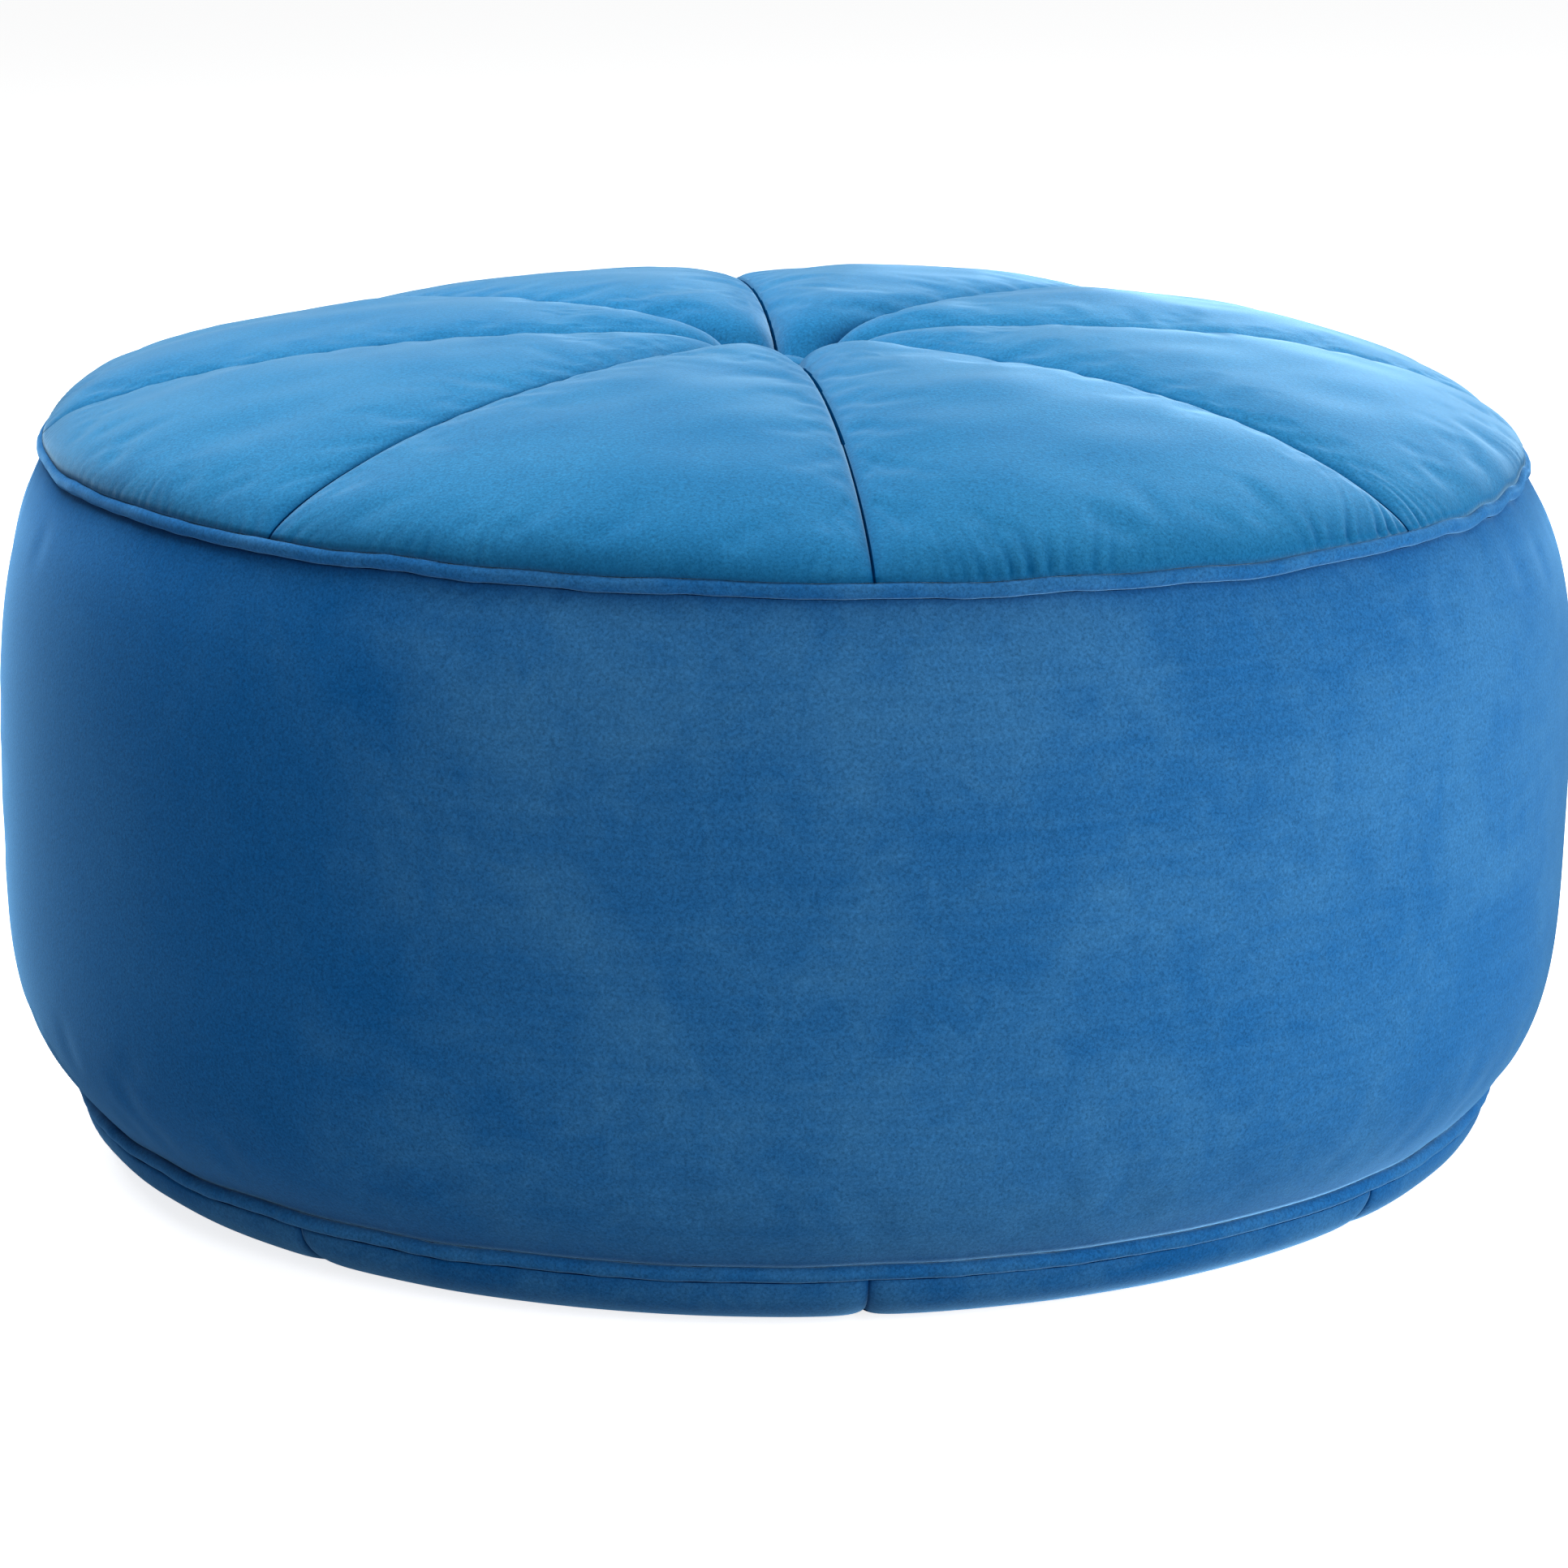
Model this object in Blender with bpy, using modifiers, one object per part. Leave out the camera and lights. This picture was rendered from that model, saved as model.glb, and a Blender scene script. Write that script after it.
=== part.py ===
"""Round floor cushion: a velvet cover of eight wedges, piped above and below, over a foam core.

The cushion stands on the plane z = 0 with its axis on Z. Azimuths are measured in degrees from
-Y towards +X, and a seam between two wedges lies at azimuth 0. Sizes are in metres.
"""

import math

import bmesh
import bpy

# Outline of the cover
BODY_DIAMETER = 0.800
BODY_HEIGHT = 0.415
WIDEST_HEIGHT = 0.165
CROWN_RISE = 0.0622  # from the middle of the upper piping to the highest point
UPPER_SEAM_INSET = 0.0265  # from the widest girth in to the middle of the upper piping
LOWER_SEAM_INSET = 0.0357
LOWER_SEAM_HEIGHT = 0.0314
BASE_INSET = 0.083
UPPER_BULGE_POWER = 4.2
LOWER_BULGE_POWER = 3.6

# Crown: the wedges puff up between the seams and are drawn down by the tuft
WEDGES = 8
SEAM_DIP = 0.005
CROWN_POWER = 3.3
CROWN_ROUND = 1.2
TUFT_DEPTH = 0.031
TUFT_WIDTH = 0.055
TUFT_POWER = 1.3
MID_PUFF = 0.0065
CENTRE_PUFF = 0.007
CENTRE_PUFF_RADIUS = 0.060
RIM_PUFF = 0.004
PUFF_SPREAD = 0.030
PUFF_POWER = 2.2
RIM_RISE = 0.008  # height over which the wedges swell out above the piping
TIP_RADIUS = 0.014

# Cloth, seams and piping
VELVET = 0.0018
SEAM_GAP = 0.0008
PIPING_DIAMETER = 0.0076
PIPING_CLOTH = 0.0008
SEAM_ALLOWANCE = 0.010
FLANGE_SLOT = 0.0004
FIT = 0.0003

# Filling
WADDING_CLEARANCE = 0.0010
FOAM_DIAMETER = 0.680
FOAM_EDGE = 0.015
TWINE_BORE = 0.006

# Base cloth and its closing zip, which runs along X
BASE_CLOTH = 0.0015
HEM_LIFT = 0.0004
ZIP_OFFSET = 0.090
ZIP_LENGTH = 0.400
ZIP_SLOT = 0.014
ZIP_SLOT_END = 0.004
TAPE_WIDTH = 0.014
TAPE_THICKNESS = 0.0006
TAPE_TAIL = 0.012
COIL_WIDTH = 0.0022
COIL_HEIGHT = 0.0018
COIL_GAP = 0.0012
STOP_LENGTH = 0.004
STOP_HEIGHT = 0.0024
SLIDER_LENGTH = 0.011
SLIDER_PLATE = 0.0010
SLIDER_NECK = 0.0006
SLIDER_NECK_LENGTH = 0.0025
SLIDER_LIFT = 0.0004

# Tuft
BUTTON_DIAMETER = 0.036
BUTTON_DOME = 0.006
BUTTON_RIM = 0.003
BUTTON_CLOTH = 0.0009
TWINE_DIAMETER = 0.002
ANCHOR_DIAMETER = 0.050
ANCHOR_THICKNESS = 0.003

# Facets: every turned piece shares them, so nested pieces keep their clearance
STEPS_PER_WEDGE = 5
SIDE_STEPS = 8
UNDERSIDE_STEPS = 5
RIM_STEPS = 6
RIM_LEAN = 65.0
SPOKE_STEPS = 8
BUTTON_STEPS = 16
PIPING_FACETS = 7
CORD_FACETS = 6
FRONT_AZIMUTH = 0.0

# Derived places
BODY_RADIUS = BODY_DIAMETER / 2
TURN_STEPS = WEDGES * STEPS_PER_WEDGE
WEDGE_ANGLE = 360 / WEDGES
PIPING_RADIUS = PIPING_DIAMETER / 2
UPPER_SEAM_RADIUS = BODY_RADIUS - UPPER_SEAM_INSET
UPPER_SEAM_HEIGHT = BODY_HEIGHT - CROWN_RISE
LOWER_SEAM_RADIUS = BODY_RADIUS - LOWER_SEAM_INSET
BASE_RADIUS = BODY_RADIUS - BASE_INSET
CROWN_RADIUS = UPPER_SEAM_RADIUS + VELVET / 2
CROWN_BOTTOM = UPPER_SEAM_HEIGHT + PIPING_RADIUS + FIT
SIDE_TOP = UPPER_SEAM_HEIGHT - PIPING_RADIUS - FIT
SIDE_BOTTOM = LOWER_SEAM_HEIGHT + PIPING_RADIUS + FIT
UNDERSIDE_TOP = LOWER_SEAM_HEIGHT - PIPING_RADIUS - FIT
FOAM_RADIUS = FOAM_DIAMETER / 2
FOAM_TOP = CROWN_BOTTOM - FIT
FOAM_BOTTOM = UNDERSIDE_TOP + FIT
UNDERSIDE_RADIUS = LOWER_SEAM_RADIUS + VELVET / 2
TAPE_BOTTOM = BASE_CLOTH + FIT
COIL_BOTTOM = TAPE_BOTTOM + TAPE_THICKNESS + FIT
COIL_TOP = COIL_BOTTOM + COIL_HEIGHT

VELVET_BLUE = (0.022, 0.115, 0.235)
CORD_WHITE = (0.75, 0.74, 0.70)
WADDING_WHITE = (0.80, 0.80, 0.78)
FOAM_CREAM = (0.78, 0.72, 0.52)
BASE_GREY = (0.045, 0.042, 0.042)
ZIP_NAVY = (0.020, 0.035, 0.070)
METAL_GREY = (0.45, 0.45, 0.46)


def clear_scene():
    for old in list(bpy.data.objects):
        bpy.data.objects.remove(old, do_unlink=True)


def new_collection(name, hidden=False):
    group = bpy.data.collections.new(name)
    group.hide_render = hidden
    bpy.context.scene.collection.children.link(group)
    return group


def dress(obj, colour, roughness, metallic=0.0):
    material = bpy.data.materials.new(obj.name)
    material.use_nodes = True
    shader = material.node_tree.nodes["Principled BSDF"]
    shader.inputs["Base Color"].default_value = (*colour, 1.0)
    shader.inputs["Roughness"].default_value = roughness
    shader.inputs["Metallic"].default_value = metallic
    obj.data.materials.append(material)


def add_mesh(group, name, bm):
    """A new object with the mesh of bm, which is freed."""
    mesh = bpy.data.meshes.new(name)
    bm.to_mesh(mesh)
    bm.free()
    obj = bpy.data.objects.new(name, mesh)
    group.objects.link(obj)
    return obj


def turned(group, name, outline, closed=True, sweep=360.0, steps=TURN_STEPS, start=90.0):
    """An outline of (radius, height) points turned about Z from azimuth start, by a Screw modifier."""
    bm = bmesh.new()
    corners = [bm.verts.new((radius, 0.0, height)) for radius, height in outline]
    last = len(corners) if closed else len(corners) - 1
    for index in range(last):
        bm.edges.new((corners[index], corners[(index + 1) % len(corners)]))
    obj = add_mesh(group, name, bm)
    obj.rotation_euler.z = math.radians(start - 90.0)
    screw = obj.modifiers.new("Turn", "SCREW")
    screw.axis = "Z"
    screw.angle = math.radians(sweep)
    screw.steps = steps
    screw.render_steps = steps
    screw.use_merge_vertices = True
    screw.merge_threshold = 0.00001
    screw.use_smooth_shade = True
    return obj


def thicken(obj, wall):
    """Gives an open surface its wall, on its inner side."""
    solidify = obj.modifiers.new("Wall", "SOLIDIFY")
    solidify.thickness = wall
    solidify.offset = -1.0


def box_mesh(low, high):
    """A bmesh box between two corners."""
    bm = bmesh.new()
    bmesh.ops.create_cube(bm, size=1.0)
    size = [b - a for a, b in zip(low, high)]
    middle = [(a + b) / 2 for a, b in zip(low, high)]
    bmesh.ops.scale(bm, vec=size, verts=bm.verts)
    bmesh.ops.translate(bm, vec=middle, verts=bm.verts)
    return bm


def cut(obj, cutter, name):
    boolean = obj.modifiers.new(name, "BOOLEAN")
    boolean.operation = "DIFFERENCE"
    boolean.solver = "EXACT"
    boolean.object = cutter


def join(obj, other, name):
    boolean = obj.modifiers.new(name, "BOOLEAN")
    boolean.operation = "UNION"
    boolean.solver = "EXACT"
    boolean.object = other


def arc(centre, radius, start, end, steps):
    """Points of (radius, height) on an arc, with its angles in degrees from +X."""
    points = []
    for step in range(steps + 1):
        angle = math.radians(start + (end - start) * step / steps)
        points.append((centre[0] + radius * math.cos(angle), centre[1] + radius * math.sin(angle)))
    return points


def place(azimuth, radius, height, aside=0.0):
    """A point at an azimuth, moved aside along the turn."""
    angle = math.radians(azimuth)
    return (
        radius * math.sin(angle) + aside * math.cos(angle),
        aside * math.sin(angle) - radius * math.cos(angle),
        height,
    )


def outward(points):
    """The unit normals of a run of (radius, height) points that goes down the outer side."""
    normals = []
    for index in range(len(points)):
        before = points[max(index - 1, 0)]
        after = points[min(index + 1, len(points) - 1)]
        run = after[0] - before[0]
        rise = after[1] - before[1]
        length = math.hypot(run, rise)
        normals.append((-rise / length, run / length))
    return normals


def inset(points, depth):
    """A run of points from top to bottom, moved inwards by a depth and no higher than its top."""
    moved = []
    for (radius, height), (across, up) in zip(points, outward(points)):
        moved.append((radius - across * depth, min(height - up * depth, points[0][1])))
    return moved


def side_radius(height):
    """The girth of the side at a height, which closes in to both pipings."""
    if height > WIDEST_HEIGHT:
        share = (height - WIDEST_HEIGHT) / (SIDE_TOP - WIDEST_HEIGHT)
        return BODY_RADIUS - (UPPER_SEAM_INSET - VELVET / 2) * share**UPPER_BULGE_POWER
    share = (WIDEST_HEIGHT - height) / (WIDEST_HEIGHT - SIDE_BOTTOM)
    return BODY_RADIUS - (LOWER_SEAM_INSET - VELVET / 2) * share**LOWER_BULGE_POWER


def side_profile():
    points = []
    for step in range(SIDE_STEPS + 1):
        share = (1 - math.cos(math.pi * step / SIDE_STEPS)) / 2
        height = SIDE_TOP + (SIDE_BOTTOM - SIDE_TOP) * share
        points.append((side_radius(height), height))
    return points


def underside_profile():
    """The turn-under of the cover, from below the lower piping in to the floor."""
    points = []
    for step in range(UNDERSIDE_STEPS + 1):
        angle = math.pi / 2 * step / UNDERSIDE_STEPS
        radius = BASE_RADIUS + (UNDERSIDE_RADIUS - BASE_RADIUS) * math.cos(angle)
        points.append((radius, UNDERSIDE_TOP - (UNDERSIDE_TOP - HEM_LIFT) * math.sin(angle)))
    return points


def crown_height(radius):
    """The height of the seam line between two wedges."""
    dome = max(1 - (radius / CROWN_RADIUS) ** CROWN_POWER, 0.0) ** (1 / CROWN_ROUND)
    apex = BODY_HEIGHT - SEAM_DIP - CROWN_BOTTOM
    pit = TUFT_DEPTH * math.exp(-((radius / TUFT_WIDTH) ** TUFT_POWER))
    return CROWN_BOTTOM + apex * dome - pit


def crown_profile():
    """The seam line from the tips of the wedges out and down to the upper piping."""
    rim = []
    for step in range(RIM_STEPS + 1):
        lean = math.radians(RIM_LEAN * (1 - step / RIM_STEPS))
        rim.append(CROWN_RADIUS * math.cos(lean) ** (2 / CROWN_POWER))
    shoulder = rim[0]
    spoke = shoulder - TIP_RADIUS
    top = [TIP_RADIUS + spoke * (step / SPOKE_STEPS) ** 1.6 for step in range(SPOKE_STEPS)]
    return [(radius, crown_height(radius)) for radius in top + rim]


def puff(radius, height):
    """How far a wedge stands out along its middle."""
    swell = MID_PUFF
    swell += CENTRE_PUFF * math.exp(-(((radius - CENTRE_PUFF_RADIUS) / PUFF_SPREAD) ** 2))
    swell += RIM_PUFF * math.exp(-(((CROWN_RADIUS - radius) / PUFF_SPREAD) ** 2))
    from_rim = 1 - math.exp(-max(height - CROWN_BOTTOM, 0.0) / RIM_RISE)
    reach = min(max((radius - 0.5 * BUTTON_DIAMETER) / PUFF_SPREAD, 0.0), 1.0)
    return swell * from_rim * reach * reach * (3 - 2 * reach)


def crown_section(azimuth, depth, aside=0.0):
    """The crown's surface at one azimuth, from the tip out, laid a depth below the velvet's face."""
    fullness = 1 - abs(2 * (azimuth % WEDGE_ANGLE) / WEDGE_ANGLE - 1) ** PUFF_POWER
    profile = crown_profile()
    section = []
    for (radius, height), (across, up) in zip(profile, outward(profile)):
        lift = puff(radius, height) * fullness - depth
        level = max(height + up * lift, CROWN_BOTTOM)
        section.append(place(azimuth, radius + across * lift, level, aside))
    return section


def loft(outer, inner, ring):
    """A closed body between outer and inner rows of points, one row of each at every azimuth.

    The rows of one wedge differ in shape. Every four-sided patch is split along the same diagonal,
    so that the faces of two nested bodies stay parallel.
    """
    bm = bmesh.new()
    top = [[bm.verts.new(point) for point in row] for row in outer]
    low = [[bm.verts.new(point) for point in row] for row in inner]
    rows = len(top)
    for index in range(rows if ring else rows - 1):
        following = (index + 1) % rows
        for side, flipped in ((top, False), (low, True)):
            here = side[index]
            there = side[following]
            for step in range(len(here) - 1):
                corners = (here[step], there[step], there[step + 1])
                others = (here[step], there[step + 1], here[step + 1])
                bm.faces.new(corners[::-1] if flipped else corners)
                bm.faces.new(others[::-1] if flipped else others)
        bm.faces.new((top[index][0], low[index][0], low[following][0], top[following][0]))
        bm.faces.new((top[following][-1], low[following][-1], low[index][-1], top[index][-1]))
    if not ring:
        for index in (0, rows - 1):
            for step in range(len(top[index]) - 1):
                rim = (top[index][step], top[index][step + 1])
                bm.faces.new((*rim, low[index][step + 1], low[index][step]))
    bmesh.ops.recalc_face_normals(bm, faces=bm.faces)
    return bm


def make_top_panels(parts):
    for wedge in range(WEDGES):
        outer = []
        inner = []
        for step in range(STEPS_PER_WEDGE + 1):
            azimuth = FRONT_AZIMUTH + WEDGE_ANGLE * (wedge + step / STEPS_PER_WEDGE)
            aside = {0: SEAM_GAP / 2, STEPS_PER_WEDGE: -SEAM_GAP / 2}.get(step, 0.0)
            outer.append(crown_section(azimuth, 0.0, aside))
            inner.append(crown_section(azimuth, VELVET, aside))
        panel = add_mesh(parts, f"top_panel_{wedge + 1}", loft(outer, inner, ring=False))
        panel.data.shade_smooth()
        panel.data.set_sharp_from_angle(angle=math.radians(40))
        dress(panel, VELVET_BLUE, 0.85)


def make_crown_wadding(parts):
    """The quilted layer between the foam and the wedges, with a bore for the twine."""
    depth = VELVET + WADDING_CLEARANCE
    outer = []
    inner = []
    for step in range(TURN_STEPS):
        azimuth = FRONT_AZIMUTH + 360 * step / TURN_STEPS
        bore_top = crown_height(TWINE_BORE / 2) - depth
        row = crown_section(azimuth, depth)
        outer.append([place(azimuth, TWINE_BORE / 2, bore_top)] + row)
        inner.append([place(azimuth, TWINE_BORE / 2, CROWN_BOTTOM)])
    wadding = add_mesh(parts, "crown_wadding", loft(outer, inner, ring=True))
    dress(wadding, WADDING_WHITE, 0.95)


def make_side_bands(parts):
    """The two strips of the side, whose joins lie in line with wedge seams."""
    gap = math.degrees(SEAM_GAP / UPPER_SEAM_RADIUS)
    for name, start in (("side_band_front", -90.0), ("side_band_rear", 90.0)):
        band = turned(
            parts, name, side_profile(), closed=False, sweep=180.0 - gap,
            steps=TURN_STEPS // 2, start=start + gap / 2,
        )
        thicken(band, VELVET)
        dress(band, VELVET_BLUE, 0.85)


def make_bottom_panels(parts):
    gap = math.degrees(SEAM_GAP / BASE_RADIUS)
    for wedge in range(WEDGES):
        panel = turned(
            parts, f"bottom_panel_{wedge + 1}", underside_profile(), closed=False,
            sweep=WEDGE_ANGLE - gap, steps=STEPS_PER_WEDGE,
            start=FRONT_AZIMUTH + WEDGE_ANGLE * wedge + gap / 2,
        )
        thicken(panel, VELVET)
        dress(panel, VELVET_BLUE, 0.85)


def piping_outline(radius, height):
    """A folded strip round a cord, with its two seam allowances running in towards the axis."""
    half_slot = FLANGE_SLOT / 2
    flange_face = half_slot + PIPING_CLOTH
    inner_radius = PIPING_RADIUS - PIPING_CLOTH
    tip = radius - PIPING_RADIUS - SEAM_ALLOWANCE
    outer_lean = 180 - math.degrees(math.asin(flange_face / PIPING_RADIUS))
    inner_lean = 180 - math.degrees(math.asin(half_slot / inner_radius))
    outline = [(tip, height + flange_face)]
    outline += arc((radius, height), PIPING_RADIUS, outer_lean, -outer_lean, PIPING_FACETS)
    outline += [(tip, height - flange_face), (tip, height - half_slot)]
    outline += arc((radius, height), inner_radius, -inner_lean, inner_lean, PIPING_FACETS)
    outline += [(tip, height + half_slot)]
    return outline


def make_piping(parts):
    seams = (
        ("upper", UPPER_SEAM_RADIUS, UPPER_SEAM_HEIGHT),
        ("lower", LOWER_SEAM_RADIUS, LOWER_SEAM_HEIGHT),
    )
    for name, radius, height in seams:
        cover = turned(parts, f"{name}_piping_cover", piping_outline(radius, height))
        dress(cover, VELVET_BLUE, 0.85)
        flat = math.cos(math.pi / PIPING_FACETS)
        cord_radius = (PIPING_RADIUS - PIPING_CLOTH) * flat - FIT
        outline = arc((radius, height), cord_radius, 180, -180, CORD_FACETS)[:-1]
        cord = turned(parts, f"{name}_piping_cord", outline)
        dress(cord, CORD_WHITE, 0.9)


def make_foam_core(parts):
    """A foam block with rounded edges, a bore for the twine and a pocket for its anchor."""
    pocket_radius = ANCHOR_DIAMETER / 2 + 2 * FIT
    pocket_top = FOAM_BOTTOM + ANCHOR_THICKNESS + 2 * FIT
    edge = FOAM_RADIUS - FOAM_EDGE
    outline = [(TWINE_BORE / 2, FOAM_TOP)]
    outline += arc((edge, FOAM_TOP - FOAM_EDGE), FOAM_EDGE, 90, 0, 3)
    outline += arc((edge, FOAM_BOTTOM + FOAM_EDGE), FOAM_EDGE, 0, -90, 3)
    outline += [(pocket_radius, FOAM_BOTTOM), (pocket_radius, pocket_top)]
    outline += [(TWINE_BORE / 2, pocket_top)]
    dress(turned(parts, "foam_core", outline), FOAM_CREAM, 0.9)


def make_side_wadding(parts):
    outline = inset(side_profile(), VELVET + FIT)
    wall = FOAM_RADIUS + FIT
    outline += [(wall, outline[-1][1]), (wall, outline[0][1])]
    dress(turned(parts, "side_wadding", outline), WADDING_WHITE, 0.95)


def make_lower_wadding(parts, cutters):
    """The pad under the foam, relieved along the zip."""
    profile = inset(underside_profile(), VELVET + FIT)
    outline = [(0.0, profile[0][1])] + profile + [(0.0, profile[-1][1])]
    wadding = turned(parts, "lower_wadding", outline)
    half_length = ZIP_LENGTH / 2 + TAPE_TAIL + FIT
    half_width = COIL_GAP / 2 + COIL_WIDTH + SLIDER_PLATE + 4 * FIT
    top = COIL_TOP + SLIDER_PLATE + 3 * FIT
    low = (-half_length, ZIP_OFFSET - half_width, -BASE_CLOTH)
    relief = add_mesh(cutters, "zip_relief", box_mesh(low, (half_length, ZIP_OFFSET + half_width, top)))
    hide(relief)
    cut(wadding, relief, "Zip relief")
    dress(wadding, WADDING_WHITE, 0.95)


def hide(obj):
    obj.hide_render = True
    obj.display_type = "WIRE"


def make_base_cloths(parts, cutters):
    """Two pieces of lining cloth that meet along the line of the zip."""
    slot_half = ZIP_LENGTH / 2 + ZIP_SLOT_END
    low = (-slot_half, ZIP_OFFSET - ZIP_SLOT / 2, -BASE_CLOTH)
    high = (slot_half, ZIP_OFFSET + ZIP_SLOT / 2, 2 * BASE_CLOTH)
    slot = add_mesh(cutters, "zip_slot", box_mesh(low, high))
    hide(slot)
    for name, side in (("base_cloth_front", 1.0), ("base_cloth_rear", -1.0)):
        bm = bmesh.new()
        bmesh.ops.create_cone(
            bm, cap_ends=True, segments=TURN_STEPS, depth=BASE_CLOTH,
            radius1=BASE_RADIUS - SEAM_GAP, radius2=BASE_RADIUS - SEAM_GAP,
        )
        bmesh.ops.translate(bm, vec=(0.0, 0.0, BASE_CLOTH / 2), verts=bm.verts)
        everything = bm.verts[:] + bm.edges[:] + bm.faces[:]
        edge = (0.0, ZIP_OFFSET - side * SEAM_GAP / 2, 0.0)
        split = bmesh.ops.bisect_plane(
            bm, geom=everything, plane_co=edge, plane_no=(0.0, side, 0.0), clear_outer=True,
        )
        rim = [item for item in split["geom_cut"] if isinstance(item, bmesh.types.BMEdge)]
        bmesh.ops.holes_fill(bm, edges=rim)
        bmesh.ops.recalc_face_normals(bm, faces=bm.faces)
        cloth = add_mesh(parts, name, bm)
        cut(cloth, slot, "Zip slot")
        dress(cloth, BASE_GREY, 0.9)


def make_zip(parts, cutters):
    half = ZIP_LENGTH / 2
    for name, side in (("front", -1.0), ("rear", 1.0)):
        def strip(near, far, start, end, bottom, top):
            """A box beside the zip's centre line, from near to far of it."""
            across = sorted((ZIP_OFFSET + side * near, ZIP_OFFSET + side * far))
            return box_mesh((start, across[0], bottom), (end, across[1], top))

        near = COIL_GAP / 2
        tail = half + TAPE_TAIL
        tape_top = TAPE_BOTTOM + TAPE_THICKNESS
        tape = strip(near, near + TAPE_WIDTH, -tail, tail, TAPE_BOTTOM, tape_top)
        dress(add_mesh(parts, f"zip_tape_{name}", tape), ZIP_NAVY, 0.85)
        coil = strip(near, near + COIL_WIDTH, -half, half, COIL_BOTTOM, COIL_TOP)
        bmesh.ops.bevel(
            coil, geom=[edge for edge in coil.edges if abs(edge.verts[0].co.x - edge.verts[1].co.x) > half],
            offset=COIL_HEIGHT / 4, affect="EDGES", segments=2, profile=0.5, material=-1,
        )
        dress(add_mesh(parts, f"zip_coil_{name}", coil), ZIP_NAVY, 0.5)
        start = half + FIT
        stop = strip(near, near + COIL_WIDTH, start, start + STOP_LENGTH, COIL_BOTTOM,
                     COIL_BOTTOM + STOP_HEIGHT)
        dress(add_mesh(parts, f"zip_top_stop_{name}", stop), METAL_GREY, 0.35, 1.0)
    reach = COIL_GAP / 2 + COIL_WIDTH
    low = (-half - FIT - STOP_LENGTH, ZIP_OFFSET - reach, COIL_BOTTOM)
    high = (-half - FIT, ZIP_OFFSET + reach, COIL_BOTTOM + STOP_HEIGHT)
    dress(add_mesh(parts, "zip_bottom_stop", box_mesh(low, high)), METAL_GREY, 0.35, 1.0)
    make_zip_slider(parts, cutters)


def make_zip_slider(parts, cutters):
    """Two plates joined by a neck between the coils; the inner plate folds down round them."""
    right = ZIP_LENGTH / 2 - FIT
    left = right - SLIDER_LENGTH
    wall_inside = COIL_GAP / 2 + COIL_WIDTH + FIT
    wall_outside = wall_inside + SLIDER_PLATE
    inner_bottom = COIL_TOP + FIT
    inner_top = inner_bottom + SLIDER_PLATE
    outer_top = SLIDER_LIFT + SLIDER_PLATE
    shell = box_mesh((left, ZIP_OFFSET - wall_outside, COIL_BOTTOM),
                     (right, ZIP_OFFSET + wall_outside, inner_top))
    upright = [edge for edge in shell.edges if abs(edge.verts[0].co.z - edge.verts[1].co.z) > FIT]
    bmesh.ops.bevel(shell, geom=upright, offset=2 * SLIDER_PLATE, affect="EDGES", segments=3,
                    profile=0.5, material=-1)
    slider = add_mesh(parts, "zip_slider", shell)
    channel = add_mesh(cutters, "slider_channel", box_mesh(
        (left - FIT, ZIP_OFFSET - wall_inside, COIL_BOTTOM - FIT),
        (right + FIT, ZIP_OFFSET + wall_inside, inner_bottom)))
    neck = add_mesh(cutters, "slider_neck", box_mesh(
        (left + SLIDER_PLATE, ZIP_OFFSET - SLIDER_NECK / 2, outer_top - SLIDER_PLATE / 2),
        (left + SLIDER_PLATE + SLIDER_NECK_LENGTH, ZIP_OFFSET + SLIDER_NECK / 2,
         inner_top - SLIDER_PLATE / 2)))
    plate_mesh = box_mesh((left, ZIP_OFFSET - wall_inside, SLIDER_LIFT),
                          (right, ZIP_OFFSET + wall_inside, outer_top))
    corners = [edge for edge in plate_mesh.edges if abs(edge.verts[0].co.z - edge.verts[1].co.z) > FIT]
    bmesh.ops.bevel(plate_mesh, geom=corners, offset=2 * SLIDER_PLATE, affect="EDGES", segments=3,
                    profile=0.5, material=-1)
    plate = add_mesh(cutters, "slider_outer_plate", plate_mesh)
    for helper in (channel, neck, plate):
        hide(helper)
    cut(slider, channel, "Channel")
    join(slider, neck, "Neck")
    join(slider, plate, "Outer plate")
    dress(slider, METAL_GREY, 0.35, 1.0)


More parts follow.
